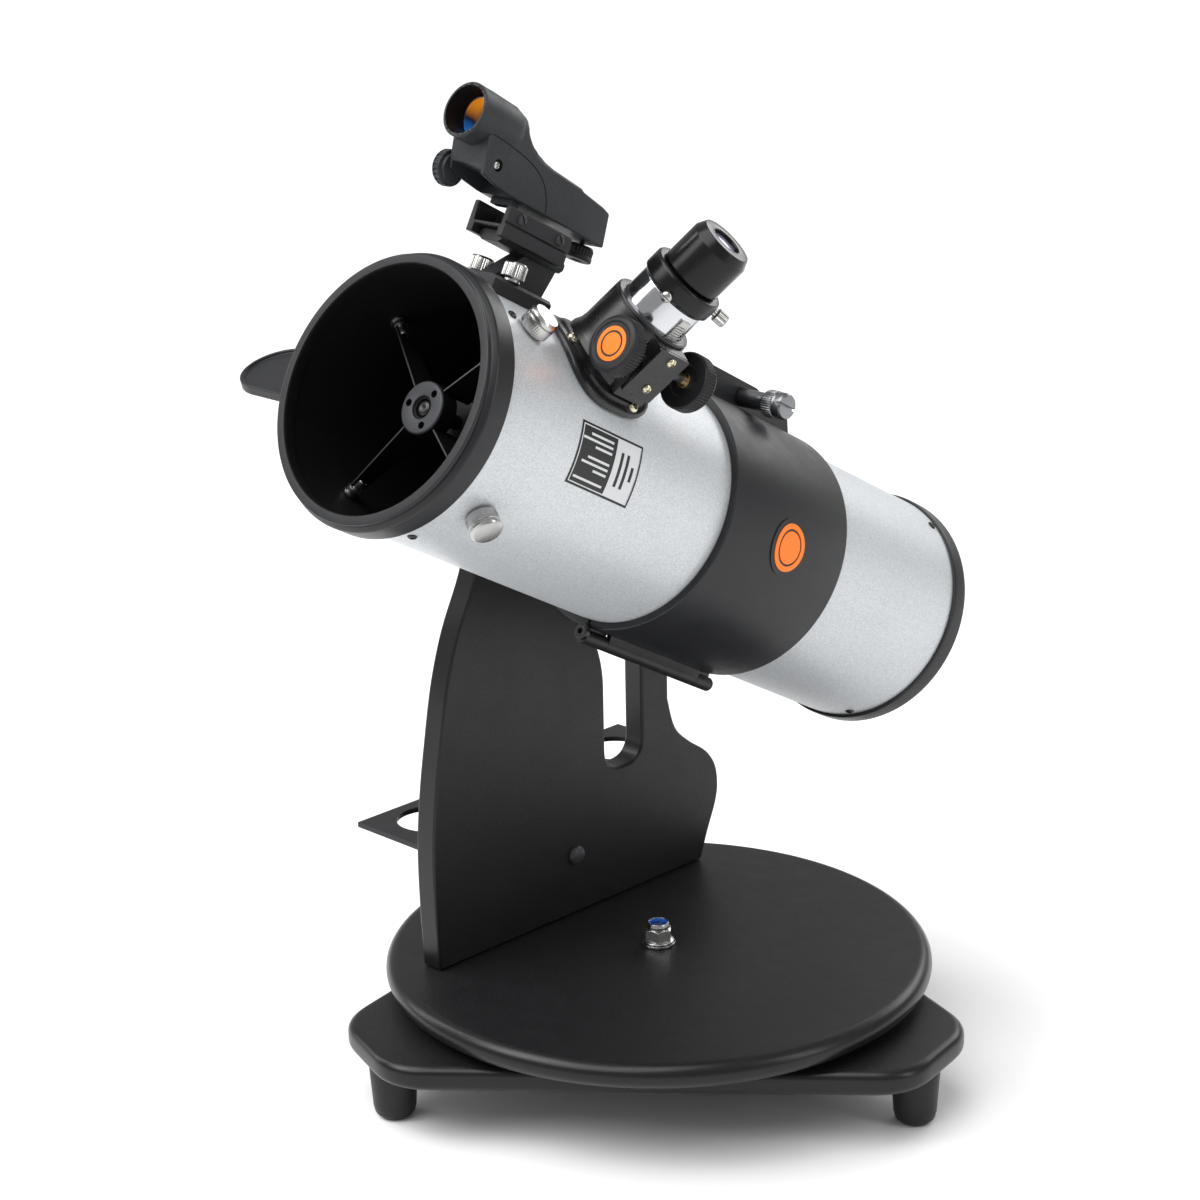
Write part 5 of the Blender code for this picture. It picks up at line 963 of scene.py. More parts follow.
def lug(side):
    """One clamp lug, its outline in the y, z plane."""
    rear = 322.0
    outline = [(-54.0, 74.6), (rear - 270.0, 74.6), (rear - 277.0, 85.3), (18.0, 85.6), (12.0, 92.0),
               (-46.0, 92.5), (-51.5, 90.0)]
    low, high = sorted((side * 0.6, side * 7.6))
    return prism(scaled(soften(outline, 2.5, 4)), low * MM, high * MM, "X")


HINGE_LINE = Matrix.Translation((0.0, 0.0, -TUBE_R - HINGE_DROP * MM))


def knuckle(start, end, side):
    """One hinge knuckle with its web up to the shell, between two distances along the tube."""
    centre = -TUBE_R / MM - HINGE_DROP
    inner = 0.6 if side > 0 else -0.5
    barrel = arc((0.0, centre), 4.3, math.degrees(math.acos(inner / 4.3)),
                 360 + math.degrees(math.acos(4.0 / 4.3)), 28)
    outline = [(inner, -74.3), *barrel, (4.0, -74.3)]
    solid = prism(scaled([(side * x, z) for x, z in outline]), start * MM, end * MM, "Y")
    return solid


def cradle():
    """The two half shells, with their lugs and hinge knuckles."""
    outer = TUBE_R / MM + CRADLE_THICKNESS
    bore = (TUBE_R / MM + CRADLE_GAP) * MM
    low_y = -55.3
    high_y = 55.2
    profile = soften(scaled([(68.0, low_y), (outer, low_y), (outer, high_y), (68.0, high_y)]), 1.3 * MM, 3)
    clamp_place = Matrix.Translation((0.0, -0.7 * MM, above(CLAMP_RISE)))
    ends = {"far": ((-58.0, -38.0), (49.0, 62.0)), "near": ((-37.7, 48.7),)}
    for name, side, sweep, body in (("far", -1, (90.6, 269.4), "tube"),
                                    ("near", 1, (-89.4, 89.4), "near_shell")):
        shell = turned(profile, 96, "Y", sweep=sweep)
        extras = [lug(side)]
        extras += [knuckle(start, end, side) for start, end in ends[name]]
        if name == "far":
            face = span("cradle_far_shell", ALT)[0].x
            extras.append(spun([(0, face / MM), (28.0, face / MM), (30.0, face / MM + 1.5), (30.0, -64.0),
                                (0, -64.0)],
                               64, "X", 0.6))
        shell = carved(shell, *extras, operation="UNION")
        tools = [rod(bore, -0.1, 0.1, 160, "Y"),
                 moved(rod(2.3 * MM, -0.1, 0.1, 24, "Y"), HINGE_LINE),
                 moved(rod(4.2 * MM, -0.03, 0.03, 32, "X"), clamp_place)]
        shell = carved(shell, *tools)
        piece(f"cradle_{name}_half", shell, BAND_PLASTIC, ALT, body, [f"cradle_{name}_shell"],
              0.5)


def hinge():
    """The hinge pin, the cap on its rear end and the socket screw beside its front end."""
    pin = rod(2.0 * MM, -59.5 * MM, 63.5 * MM, 32, "Y")
    piece("hinge_rod", moved(pin, HINGE_LINE), STEEL, ALT, "tube", ["hinge_pin"], 0.3)
    cap = spun([(0, 61.9), (4.3, 61.9), (4.3, 63.6), (3.4, 65.0), (0, 65.3)], 48, "Y", 0.5)
    piece("hinge_end_cap", moved(cap, HINGE_LINE), BAND_PLASTIC, ALT, "tube")
    socket = spun([(0, -59.4), (4.5, -59.4), (4.5, -62.6), (3.9, -63.2), (0, -63.2)], 48, "Y", 0.3)
    socket = carved(socket, prism(scaled(hexagon(3.4)), -70 * MM, -61 * MM, "Y"))
    piece("hinge_socket_screw", moved(socket, Matrix.Translation((2.6 * MM, 0.0, -TUBE_R - 8.3 * MM))),
          CAST_BLACK, ALT, "tube")


def clamp_bolt():
    """The clamp's thumb bolt, with a knurled grip and a slotted cap, and its nut."""
    low, high = span("clamp_bolt", ALT)
    centre = (low + high) / 2
    tip = high.x / MM
    barrel = 8.0
    head = tip - 16.5
    ribs = (36, 0.35, head + 1.9, head + 8.7)
    bolt = spun([(0, low.x / MM), (2.9, low.x / MM), (2.9, barrel), (5.6, barrel), (5.6, head - 0.2),
                 (6.6, head), (7.6, head + 1.8), (8.2, head + 2.0), (8.2, head + 8.5), (7.4, head + 8.9),
                 (6.9, head + 10.4), (8.0, head + 10.8), (8.0, head + 14.8), (6.9, tip), (0, tip)], 48, "X",
                 0.3, ribs)
    slot = box_mm((tip - 3.2, -9.0, -0.9), (tip + 1.0, 9.0, 0.9))
    place = ALT @ Matrix.Translation((0.0, centre.y, centre.z))
    piece("clamp_thumb_bolt", carved(bolt, slot), DARK_CHROME, place, "clamp_bolt", ["clamp_bolt"])
    hex_nut("clamp_hex_nut", "clamp_nut", ALT, place, 12.0, 4.2, "tube", 0.5)


def disc_mark(name, radius, height, ring_gap, angle, y, material, body):
    """A round printed mark wrapped on the cradle or tube."""
    rings = [(0, height + 0.35)] + [(radius * step / 6, height + 0.35) for step in range(1, 7)]
    rings += [(radius, height - 0.6)] + [(radius * (6 - step) / 6, height - 0.6) for step in range(1, 6)]
    rings.append((0, height - 0.6))
    mesh = spun(rings, 96, soft=0)
    if ring_gap:
        mesh = carved(mesh, pipe((radius - ring_gap[1]) * MM, (radius - ring_gap[0]) * MM,
                                 (height - 2) * MM, (height + 2) * MM, 96))
    piece(name, wrapped(mesh, angle, y), material, ALT, body)


def badge():
    """A plain orange disc in a dark rim on the near half of the cradle."""
    y = station(271.5)
    disc_mark("badge_rim", 16.0, 4.9, None, 2.7, y, PRINT_BLACK, "near_shell")
    disc_mark("badge_disc", 13.2, 5.3, (3.0, 4.2), 2.7, y, ORANGE, "near_shell")


def label():
    """A rating plate on the tube, with plain bars where a real one carries print."""
    y = station(108.0)
    angle = 3.0
    half_x = 17.5
    half_y = 26.0

    def bars(name, material, boxes, height):
        meshes = []
        for x0, y0, x1, y1 in boxes:
            meshes.append(strip((x0, y0, 0.05), (x1, y1, height), max(2, int(abs(x1 - x0) / 2.5))))
        piece(name, wrapped(gathered(*meshes), angle, y), material, ALT, "tube")

    bars("plate_field", PRINT_BLACK, [(-half_x, -half_y, half_x, half_y)], 0.22)
    frame_width = 0.6
    edge = 1.3
    inner_x = half_x - edge
    inner_y = half_y - edge
    lines = [(-inner_x, -inner_y, inner_x, -inner_y + frame_width),
             (-inner_x, inner_y - frame_width, inner_x, inner_y),
             (-inner_x, -inner_y, -inner_x + frame_width, inner_y),
             (inner_x - frame_width, -inner_y, inner_x, inner_y), (-inner_x, 4.5, inner_x, inner_y)]
    for index, length in enumerate((19.0, 25.0, 14.0, 0.0, 18.0, 22.0, 11.0, 0.0, 24.0)):
        if length:
            x = -inner_x + 3.4 + 3.1 * index
            lines.append((x, 1.5 - length, x + 1.3, 1.5))
    bars("plate_print", PRINT_WHITE, lines, 0.32)
    bars("plate_symbol", PRINT_BLACK, [(-9.5, 9.0, 9.5, 11.2), (-9.5, 14.0, 9.5, 16.2),
                                       (-4.0, 19.0, 4.0, 21.2)], 0.42)


# Focuser

def focuser():
    """Saddle flange, housing, pinion block and its cover."""
    top = span("focuser_body", FOC)[1].z / MM
    outline = soften(scaled([(-32.0, -39.0), (36.0, -39.0), (36.0, 29.0), (-32.0, 29.0)]), 34.0 * MM, 16)
    levels = [(0.02, 0.3), (0.5, 0.3), (0.985, 0.3), (1.0, 0.9), (1.0, 2.6), (0.985, 3.5), (0.95, 4.2),
              (0.86, 4.4), (0.80, 5.6), (0.5, 6.0), (0.02, 6.0)]
    rings = []
    for (share, height), (next_share, next_height) in zip(levels, levels[1:]):
        for step in range(3):
            t = step / 3
            rings.append((share + (next_share - share) * t, (height + (next_height - height) * t) * MM))
    rings.append((levels[-1][0], levels[-1][1] * MM))
    saddle = wrapped(pillow(outline, rings), FOCUS_ANGLE, FOCUS_STATION)
    saddle = moved(saddle, FOC.inverted() @ ALT)
    reach_z = (TUBE_R / MM) - 6.0
    housing = spun([(0, reach_z), (28.5, reach_z), (28.0, 77.0), (26.2, 81.0), (25.6, 86.0),
                    (25.5, top - 2.4), (24.9, top - 2.2), (24.9, top - 1.4), (25.5, top - 1.2), (24.9, top),
                    (0, top)], 96, soft=0.5)
    side = prism(scaled(soften([(12.0, -12.0), (31.0, -12.0), (31.0, 12.0), (12.0, 12.0)], 1.0, 2)),
                 73.0 * MM, 110.0 * MM)
    whole = carved(saddle, housing, side, operation="UNION")
    tube_bore = rod(TUBE_R + 0.25 * MM, -0.1, 0.1, 160, "Y")
    tools = [tube_bore, rod(20.8 * MM, 0.0, 0.2, 96), box_mm((0.0, -3.8, 40.0), (22.4, 3.8, 130.0)),
             box_mm((17.5, -8.3, 92.1), (36.0, 8.3, 100.7)),
             moved(rod(2.8 * MM, -0.03, 0.03, 32, "Y"), FOC.inverted() @ PIN)]
    whole = carved(whole, *tools)
    piece("focuser_housing", whole, CAST_BLACK, FOC, "tube", ["focuser_body"], 0.35)
    low, high = span("pinion_cover", FOC)
    cover = prism(soften([(low.y, low.z), (high.y, low.z), (high.y, high.z), (low.y, high.z)], 1.0 * MM, 3),
                  low.x, high.x, "X")
    piece("pinion_cover_plate", cover, CAST_BLACK, FOC, "tube", ["pinion_cover"], 0.3)


def focuser_screws():
    """Two screws in the pinion cover and three round the flange."""
    cover_face = span("pinion_cover", FOC)[1].x
    heads = []
    out_of_cover = Matrix.Rotation(math.radians(90.0), 4, "Y")
    for y, z in ((0.5, 105.5), (1.5, 85.5)):
        place = Matrix.Translation((cover_face, y * MM, z * MM)) @ out_of_cover
        heads.append(moved(pan_head(2.9, 2.0), place))
    for x, y in ((0.0, -31.5), (29.0, 8.0), (-26.8, 0.0)):
        angle = math.radians(x * MM / TUBE_R * 180 / math.pi)
        turn = Matrix.Rotation(angle, 4, "Y") @ Matrix.Translation((0.0, y * MM, above(FLANGE_TOP)))
        heads.append(moved(pan_head(3.7, 2.3), turn))
    piece("focuser_screws", gathered(*heads), YELLOW_ZINC, FOC, "tube")


def drawtube():
    """The chromed drawtube with its toothed rack."""
    low, high = span("drawtube", FOC)
    base = low.z / MM
    top = high.z / MM
    barrel = spun([(18.5, base), (20.5, base), (20.5, top), (18.5, top)], 128, soft=0.3)
    piece("chrome_drawtube", barrel, CHROME, FOC, "drawtube", ["drawtube"])
    rack_low = 76.0
    rack_high = 125.0
    teeth = [(19.8, rack_low), (21.4, rack_low)]
    pitch = 1.55
    z = rack_low + 0.6
    while z < rack_high - 4.0:
        teeth += [(21.4, z), (22.1, z + 0.35), (22.1, z + 0.85), (21.4, z + 1.2)]
        z += pitch
    teeth += [(21.4, rack_high - 3.0), (22.1, rack_high - 3.0), (22.1, rack_high), (19.8, rack_high)]
    bar = prism(scaled(teeth), -3.5 * MM, 3.5 * MM, "Y")
    piece("focus_rack", bar, NICKEL, FOC, "drawtube", (), 0.08)


def eyepiece_collar():
    """The collar on the drawtube, with its ball-head set screw and its thumbscrew."""
    low, high = span("eyepiece_collar", FOC)
    top = high.z / MM
    base = top - 12.0
    collar = spun([(16.2, low.z / MM), (18.1, low.z / MM), (18.1, base), (20.6, base), (21.2, base + 0.5),
                   (22.5, base + 1.6), (22.5, top - 1.3), (21.6, top), (16.2, top)], 128, soft=0.5)
    middle = Matrix.Translation((0.0, 0.0, (base + 6.0) * MM))
    axis = joint_axis("thumbscrew_turn")
    out = (FOC.to_3x3().inverted() @ axis).to_track_quat("Z", "Y").to_matrix().to_4x4()
    collar = carved(collar, moved(rod(2.4 * MM, 10 * MM, 30 * MM, 24), middle @ out))
    piece("eyepiece_clamp_collar", collar, ANODISED, FOC, "drawtube", ["eyepiece_collar"])
    ball_turn = Matrix.Rotation(math.radians(-52.0), 4, "Z") @ Matrix.Rotation(math.radians(90.0), 4, "Y")
    ball = spun([(0, 20.0), (2.0, 20.0), (2.0, 22.4), (2.9, 22.6), (3.3, 24.0), (2.9, 25.4), (1.6, 26.2),
                 (0, 26.4)],
                32, soft=0.7)
    ball = carved(ball, box_mm((-0.35, -4, 25.2), (0.35, 4, 28)))
    piece("collar_set_screw", moved(ball, Matrix.Translation((0.0, 0.0, (base + 1.5) * MM)) @ ball_turn),
          NICKEL, FOC, "drawtube", ())
    low, high = span("eyepiece_thumbscrew", FOC @ middle @ out)
    tip = low.z / MM
    head = high.z / MM - 7.0
    screw = spun([(0, tip), (2.0, tip), (2.0, head), (3.6, head), (4.0, head + 0.5), (4.0, head + 6.4),
                  (3.4, head + 7.0), (0, head + 7.0)], 32, soft=0.25,
                  ribs=(18, 0.3, head + 0.45, head + 6.45))
    piece("collar_thumbscrew", screw, NICKEL, FOC @ middle @ out, "thumbscrew", ["eyepiece_thumbscrew"])


def pinion():
    """The toothed pinion on its shaft."""
    shaft = spun([(0, -32.6), (2.5, -32.6), (2.5, -8.0), (2.5, -7.9), (2.5, 8.0), (2.5, 32.6), (0, 32.6)],
                 32, "Y", 0)
    gear_profile = []
    for index in range(14):
        for offset, radius in ((-0.30, 2.9), (-0.16, 3.7), (0.16, 3.7), (0.30, 2.9)):
            angle = math.tau * (index + offset) / 14
            gear_profile.append((radius * math.cos(angle), radius * math.sin(angle)))
    gear = prism(scaled(gear_profile), -8.0 * MM, 8.0 * MM, "Y")
    piece("pinion_and_shaft", carved(shaft, gear, operation="UNION"), STEEL, PIN, "focus_knobs",
          ["pinion_shaft"])


def focus_knobs():
    """A ribbed knob on either end of the shaft, with an orange disc and a brass bush."""
    for name, side in (("focus_knob_front", -1), ("focus_knob_rear", 1)):
        inner = 26.3
        profile = [(2.8, inner + 1.2), (9.0, inner + 1.2), (9.6, inner), (15.4, inner), (16.5, inner + 0.9),
                   (16.5, inner + 8.2), (15.6, inner + 9.6), (14.2, inner + 10.5), (12.6, inner + 10.5),
                   (12.0, inner + 9.9), (0, inner + 9.9), (0, inner + 7.4), (2.8, inner + 7.4)]
        mesh = spun(profile, 48, "Y", 0.3, (56, 0.6, inner + 0.85, inner + 8.25))
        piece(name + "_grip", flipped(mesh, side), RUBBER, PIN, "focus_knobs", [name])
        disc = spun([(0, inner + 10.1), (9.8, inner + 10.1), (9.8, inner + 9.6), (0, inner + 9.6)], 64, "Y",
                    0)
        groove = pipe(6.2 * MM, 7.4 * MM, (inner + 9) * MM, (inner + 12) * MM, 64, "Y")
        piece(name + "_disc", flipped(carved(disc, groove), side), ORANGE, PIN, "focus_knobs", ())
        ring = spun([(2.6, inner + 0.2), (4.4, inner + 0.2), (4.4, inner + 2.4), (2.6, inner + 2.4)], 32,
                    "Y", 0.2)
        piece(name + "_bush", flipped(ring, side), BRASS, PIN, "focus_knobs", ())


def eyepiece():
    """The eyepiece and its eye lens."""
    low, high = span("eyepiece", FOC)
    base = low.z / MM
    top = high.z / MM
    seat = top - 28.0
    body = spun([(14.1, base), (15.87, base), (15.87, seat), (17.2, seat), (18.0, seat + 0.8),
                 (18.0, top - 5.4), (15.4, top), (9.0, top), (8.6, top - 0.5), (8.5, top - 3.4),
                 (6.6, top - 3.4), (6.6, seat + 6.0), (14.1, seat + 2.0)], 128, soft=0.35)

    def on_barrel(centre, normal):
        return centre.z < seat * MM and math.hypot(centre.x, centre.y) > 15.5 * MM

    piece("eyepiece_body", body, ANODISED, FOC, "eyepiece", ["eyepiece"],
          inner=(CHROME, on_barrel))
    lens = [(0, top - 1.5), (3.0, top - 1.55), (6.0, top - 1.75), (8.0, top - 2.0), (8.0, top - 3.2),
            (0, top - 3.2)]
    piece("eyepiece_lens", spun(lens, 64, soft=0.2), EYE_GLASS, FOC, "eyepiece", ["eye_lens"])


# Finder

def at(points):
    """Side-view points, given as stations and heights above the tube."""
    return [(station(along), above(height)) for along, height in points]


def finder_bracket():
    """The finder's foot, stem and rail, and the two knurled nuts."""
    foot = box_to_saddle(18.0, 36.0, 83.0, 7.5)
    stem = prism(at([(43.0, 6.0), (85.0, 6.0), (90.0, 26.0), (64.0, 26.0)]), -6.0 * MM, 6.0 * MM, "X")
    rail_outline = [(-6.5, 25.5), (6.5, 25.5), (9.0, 27.5), (9.0, 30.5), (7.5, 32.0), (-7.5, 32.0),
                    (-9.0, 30.5), (-9.0, 27.5)]
    rail = prism([(x * MM, above(h)) for x, h in rail_outline], station(40.0), station(92.0), "Y")
    whole = carved(foot, stem, rail, operation="UNION")
    piece("finder_shoe", whole, MOULDED, ALT, "tube", ["finder_bracket"], 0.7)
    for name in ("finder_nut_near", "finder_nut_far"):
        low, high = span(name, ALT)
        centre = (low + high) / 2
        base = above(7.5) / MM
        nut = spun([(0, base + 0.3), (4.6, base + 0.3), (4.6, base + 1.8), (6.2, base + 2.2),
                    (6.6, base + 2.8), (6.6, base + 9.8), (6.0, base + 10.9), (4.6, base + 11.0),
                    (4.2, base + 10.3), (0, base + 10.3)],
                   40, soft=0.25, ribs=(30, 0.3, base + 2.75, base + 9.85))
        piece(name + "_knurled", nut, NICKEL, ALT @ Matrix.Translation((centre.x, centre.y, 0.0)), "tube",
              [name])


def box_to_saddle(half_width, start, end, top):
    """A foot block whose underside follows the tube, with a chamfered top."""
    outline = [(-half_width, 0.88 * TUBE_R / MM), (half_width, 0.88 * TUBE_R / MM),
               (half_width, above(top) / MM - 2.0), (half_width - 2.0, above(top) / MM),
               (-half_width + 2.0, above(top) / MM), (-half_width, above(top) / MM - 2.0)]
    body = prism(scaled(outline), station(start), station(end), "Y")
    return carved(body, rod(TUBE_R + 0.2 * MM, -0.4, 0.1, 160, "Y"))


def finder_clamp():
    """The clamp that grips the rail, with its two slotted screws."""
    low, high = span("finder_clamp", ALT)
    outline = [(-14.0, 27.6), (-9.4, 27.6), (-9.4, 32.4), (9.4, 32.4), (9.4, 27.6), (14.0, 27.6),
               (14.0, 44.2), (13.2, 45.0), (10.6, 45.0), (10.6, 42.6), (-10.6, 42.6), (-10.6, 45.0),
               (-13.2, 45.0), (-14.0, 44.2)]
    block_mesh = prism([(x * MM, above(h)) for x, h in outline], low.y, high.y, "Y")
    recess = block((-10.6 * MM, low.y - 0.01, above(34.2)), (10.6 * MM, low.y + 16 * MM, above(46.0)))
    groove = block((12.9 * MM, low.y - 0.01, above(35.0)), (15.0 * MM, high.y + 0.01, above(36.0)))
    clamp = carved(block_mesh, recess, groove)
    piece("finder_rail_clamp", clamp, MOULDED, ALT, "tube", ["finder_clamp"], 0.5)
    heads = []
    for distance in (45.0, 76.7):
        seat = Matrix.Translation((14.0 * MM, station(distance), above(40.4)))
        turn = seat @ Matrix.Rotation(math.pi / 2, 4, "Y") @ Matrix.Rotation(0.7, 4, "Z")
        heads.append(moved(pan_head(3.3, 1.4, "slot"), turn))
    piece("finder_clamp_screws", gathered(*heads), HUB_GREY, ALT, "tube", ())


HOOD_LINE = Matrix.Translation((0.0, 0.0, above(HOOD_HEIGHT)))

# One section a row: station of its bottom, station of its top, bottom, top, half width, upper corner's radius
FINDER_SECTIONS = (
    (7.5, 2.5, 52.6, 72.6, 13.3, 0.5), (11.0, 7.0, 51.8, 78.0, 13.3, 3.0),
    (15.0, 12.0, 51.0, 84.5, 13.3, 8.0), (19.0, 18.0, 50.2, 95.6, 13.3, 12.6),
    (23.0, 23.5, 49.8, 95.4, 13.3, 12.6), (27.0, 29.5, 49.4, 94.0, 13.3, 12.4),
    (30.5, 34.0, 49.0, 89.6, 13.3, 11.5), (34.5, 38.5, 48.9, 84.2, 13.3, 9.5),
    (39.5, 43.5, 48.8, 79.4, 13.3, 7.0), (46.5, 50.0, 48.8, 75.7, 13.3, 4.5),
    (56.0, 57.5, 48.7, 74.0, 13.3, 3.0), (82.0, 82.0, 48.6, 72.3, 13.3, 2.2),
    (84.0, 84.0, 48.6, 71.2, 13.3, 2.0), (105.0, 102.5, 48.5, 68.9, 13.2, 1.8),
    (111.8, 108.0, 48.6, 67.6, 12.4, 1.4),
)
LOWER_CORNER = 1.2


def finder_section(bottom_station, top_station, bottom, top, half, corner):
    """A rounded section of the housing, leaning so that its top stands at its own station."""
    points = []
    for index, (x, h) in enumerate(((-half, bottom), (half, bottom), (half, top), (-half, top))):
        size = LOWER_CORNER if index < 2 else corner
        start = (180, 270, 0, 90)[index]
        centre = (x - math.copysign(size, x), h + size if index < 2 else h - size)
        points += arc(centre, size, start, start + 90, 6)
    loop = []
    for x, h in points:
        share = (h - bottom) / (top - bottom)
        along = bottom_station + (top_station - bottom_station) * share
        loop.append(Vector((x * MM, station(along), above(h))))
    return loop


def finder_body():
    """The sight's housing: a box under the hood that tapers to a tail."""
    body = lofted([finder_section(*section) for section in FINDER_SECTIONS])
    hood_profile = [(0, -8.0), (14.6, -8.0), (15.5, -7.2), (15.4, 4.0), (14.8, 22.0), (13.6, 26.5),
                    (11.0, 29.0), (0, 29.0)]
    hood = turned([(radius * MM, station(along)) for radius, along in hood_profile], 96, "Y")
    lug_low = (-8.0 * MM, station(39.0), above(45.6))
    lug_high = (8.0 * MM, station(45.0), above(51.0))
    body = carved(body, moved(hood, HOOD_LINE), block(lug_low, lug_high), operation="UNION")
    bore_profile = [(0, -12.0), (14.0, -12.0), (13.3, -6.0), (12.9, 10.5), (12.6, 60.0), (0, 60.0)]
    bore = turned([(radius * MM, station(along)) for radius, along in bore_profile], 96, "Y")
    under = block((-11.4 * MM, station(2.0), above(40.0)), (11.4 * MM, station(34.0), above(57.0)))
    screw_hole = moved(rod(3.4 * MM, -3.0 * MM, 5.0 * MM, 32, "X"),
                       Matrix.Translation((12.8 * MM, station(FINDER_SCREW[0]), above(FINDER_SCREW[1]))))
    wheel_low, wheel_high = span("finder_wheel", ALT)
    stud_line = Matrix.Translation((0.0, (wheel_low.y + wheel_high.y) / 2, 0.0))
    stud_hole = moved(rod(1.9 * MM, above(40.0), above(54.4), 24), stud_line)
    body = carved(body, moved(bore, HOOD_LINE), under, screw_hole, stud_hole)
    inside = half_inside_hood()
    piece("finder_housing", body, FINDER_PLASTIC, ALT, "finder_body", ["finder_body"],
          0.35, inner=(FLAT_BLACK, inside))


def finder_window():
    """The leaning coated lens in its ring, and the screw in the housing's side."""
    lens_start = span("finder_lens", ALT)[0].y
    lens = turned([(0, lens_start + 1.4 * MM), (6.0 * MM, lens_start + 1.1 * MM), (12.6 * MM, lens_start),
                   (12.6 * MM, lens_start + 2.2 * MM), (0, lens_start + 2.8 * MM)], 64, "Y")
    slope = Matrix.Translation((0.0, lens_start, 0.0)) @ Matrix.Rotation(math.radians(16.0), 4, "X")
    slope = HOOD_LINE @ slope @ Matrix.Translation((0.0, -lens_start - 5.5 * MM, 0.0))
    piece("finder_window", moved(lens, slope), FINDER_GLASS, ALT, "finder_body", ["finder_lens"])
    ring = turned([(12.3 * MM, lens_start - 0.5 * MM), (12.8 * MM, lens_start - 0.5 * MM),
                   (12.8 * MM, lens_start + 0.2 * MM), (12.3 * MM, lens_start + 0.2 * MM)], 96, "Y")
    piece("finder_window_ring", moved(ring, slope), STEEL, ALT, "finder_body")
    head = moved(pan_head(2.6, 1.6), Matrix.Translation((11.2 * MM, station(FINDER_SCREW[0]),
                                                         above(FINDER_SCREW[1])))
                 @ Matrix.Rotation(math.pi / 2, 4, "Y"))
    piece("finder_housing_screw", head, NICKEL, ALT, "finder_body", ())


def finder_seams():
    """The parting line along both sides of the housing."""
    seam_points = smoothed(at([(5.0, 74.0), (20.0, 73.2), (38.0, 70.4), (50.0, 65.5), (57.0, 58.0),
                               (60.5, 50.0)]), 6)
    for name, side in (("near", 1), ("far", -1)):
        groove = []
        for index, (y, z) in enumerate(seam_points):
            before = Vector(seam_points[max(0, index - 1)])
            after = Vector(seam_points[min(len(seam_points) - 1, index + 1)])
            normal = (after - before).normalized().orthogonal() * 0.28 * MM
            groove.append([Vector((side * x * MM, y + sign * normal.x, z + sign * normal.y))
                           for x, sign in ((12.6, 1), (13.42, 1), (13.42, -1), (12.6, -1))])
        piece(f"finder_seam_{name}", lofted(groove), FLAT_BLACK, ALT, "finder_body")


def half_inside_hood():
    def test(centre, normal):
        height = centre.z - above(HOOD_HEIGHT)
        out = Vector((centre.x, 0.0, height))
        return out.length < 14.1 * MM and centre.y < station(20.0) and normal.dot(out) < 0
    return test


def finder_knobs():
    """The dial on the far side and the tilt wheel under the rear."""
    low, high = span("finder_dial", ALT)
    centre = (low + high) / 2
    face = high.x / MM
    end = low.x / MM
    dial = spun([(0, face), (8.0, face), (8.0, face - 2.0), (9.7, face - 2.3), (10.0, face - 2.8),
                 (10.0, end + 1.2), (9.2, end), (7.6, end), (7.2, end + 0.6), (0, end + 0.6)], 48, "X", 0.3,
                (22, 0.7, end + 1.15, face - 2.75))
    place = ALT @ Matrix.Translation((0.0, centre.y, centre.z))
    piece("finder_brightness_dial", dial, FINDER_PLASTIC, place, "finder_dial", ["finder_dial"])
    ticks = []
    for index in range(9):
        tick = box_mm((end + 0.2, 5.2, -0.25), (end + 0.75, 6.6, 0.25))
        ticks.append(moved(tick, Matrix.Rotation(math.radians(30.0 * index), 4, "X")))
    piece("dial_marks", gathered(*ticks), PRINT_WHITE, place, "finder_dial")
    low, high = span("finder_wheel", ALT)
    centre = (low + high) / 2
    base = low.z / MM
    top = high.z / MM
    hub_top = base + 8.3
    wheel = spun([(0, base + 0.6), (3.0, base + 0.6), (3.4, base), (7.4, base), (8.2, base + 0.5),
                  (8.2, base + 2.4), (7.8, base + 2.8), (7.8, base + 6.6), (7.0, hub_top), (1.2, hub_top),
                  (1.2, top), (0, top)], 48,
                 soft=0.25, ribs=(24, 0.5, base + 2.85, base + 6.55))
    piece("finder_tilt_wheel", wheel, MOULDED, ALT @ Matrix.Translation((0.0, centre.y, 0.0)),
          "finder_wheel", ["finder_wheel"])


# Side dock

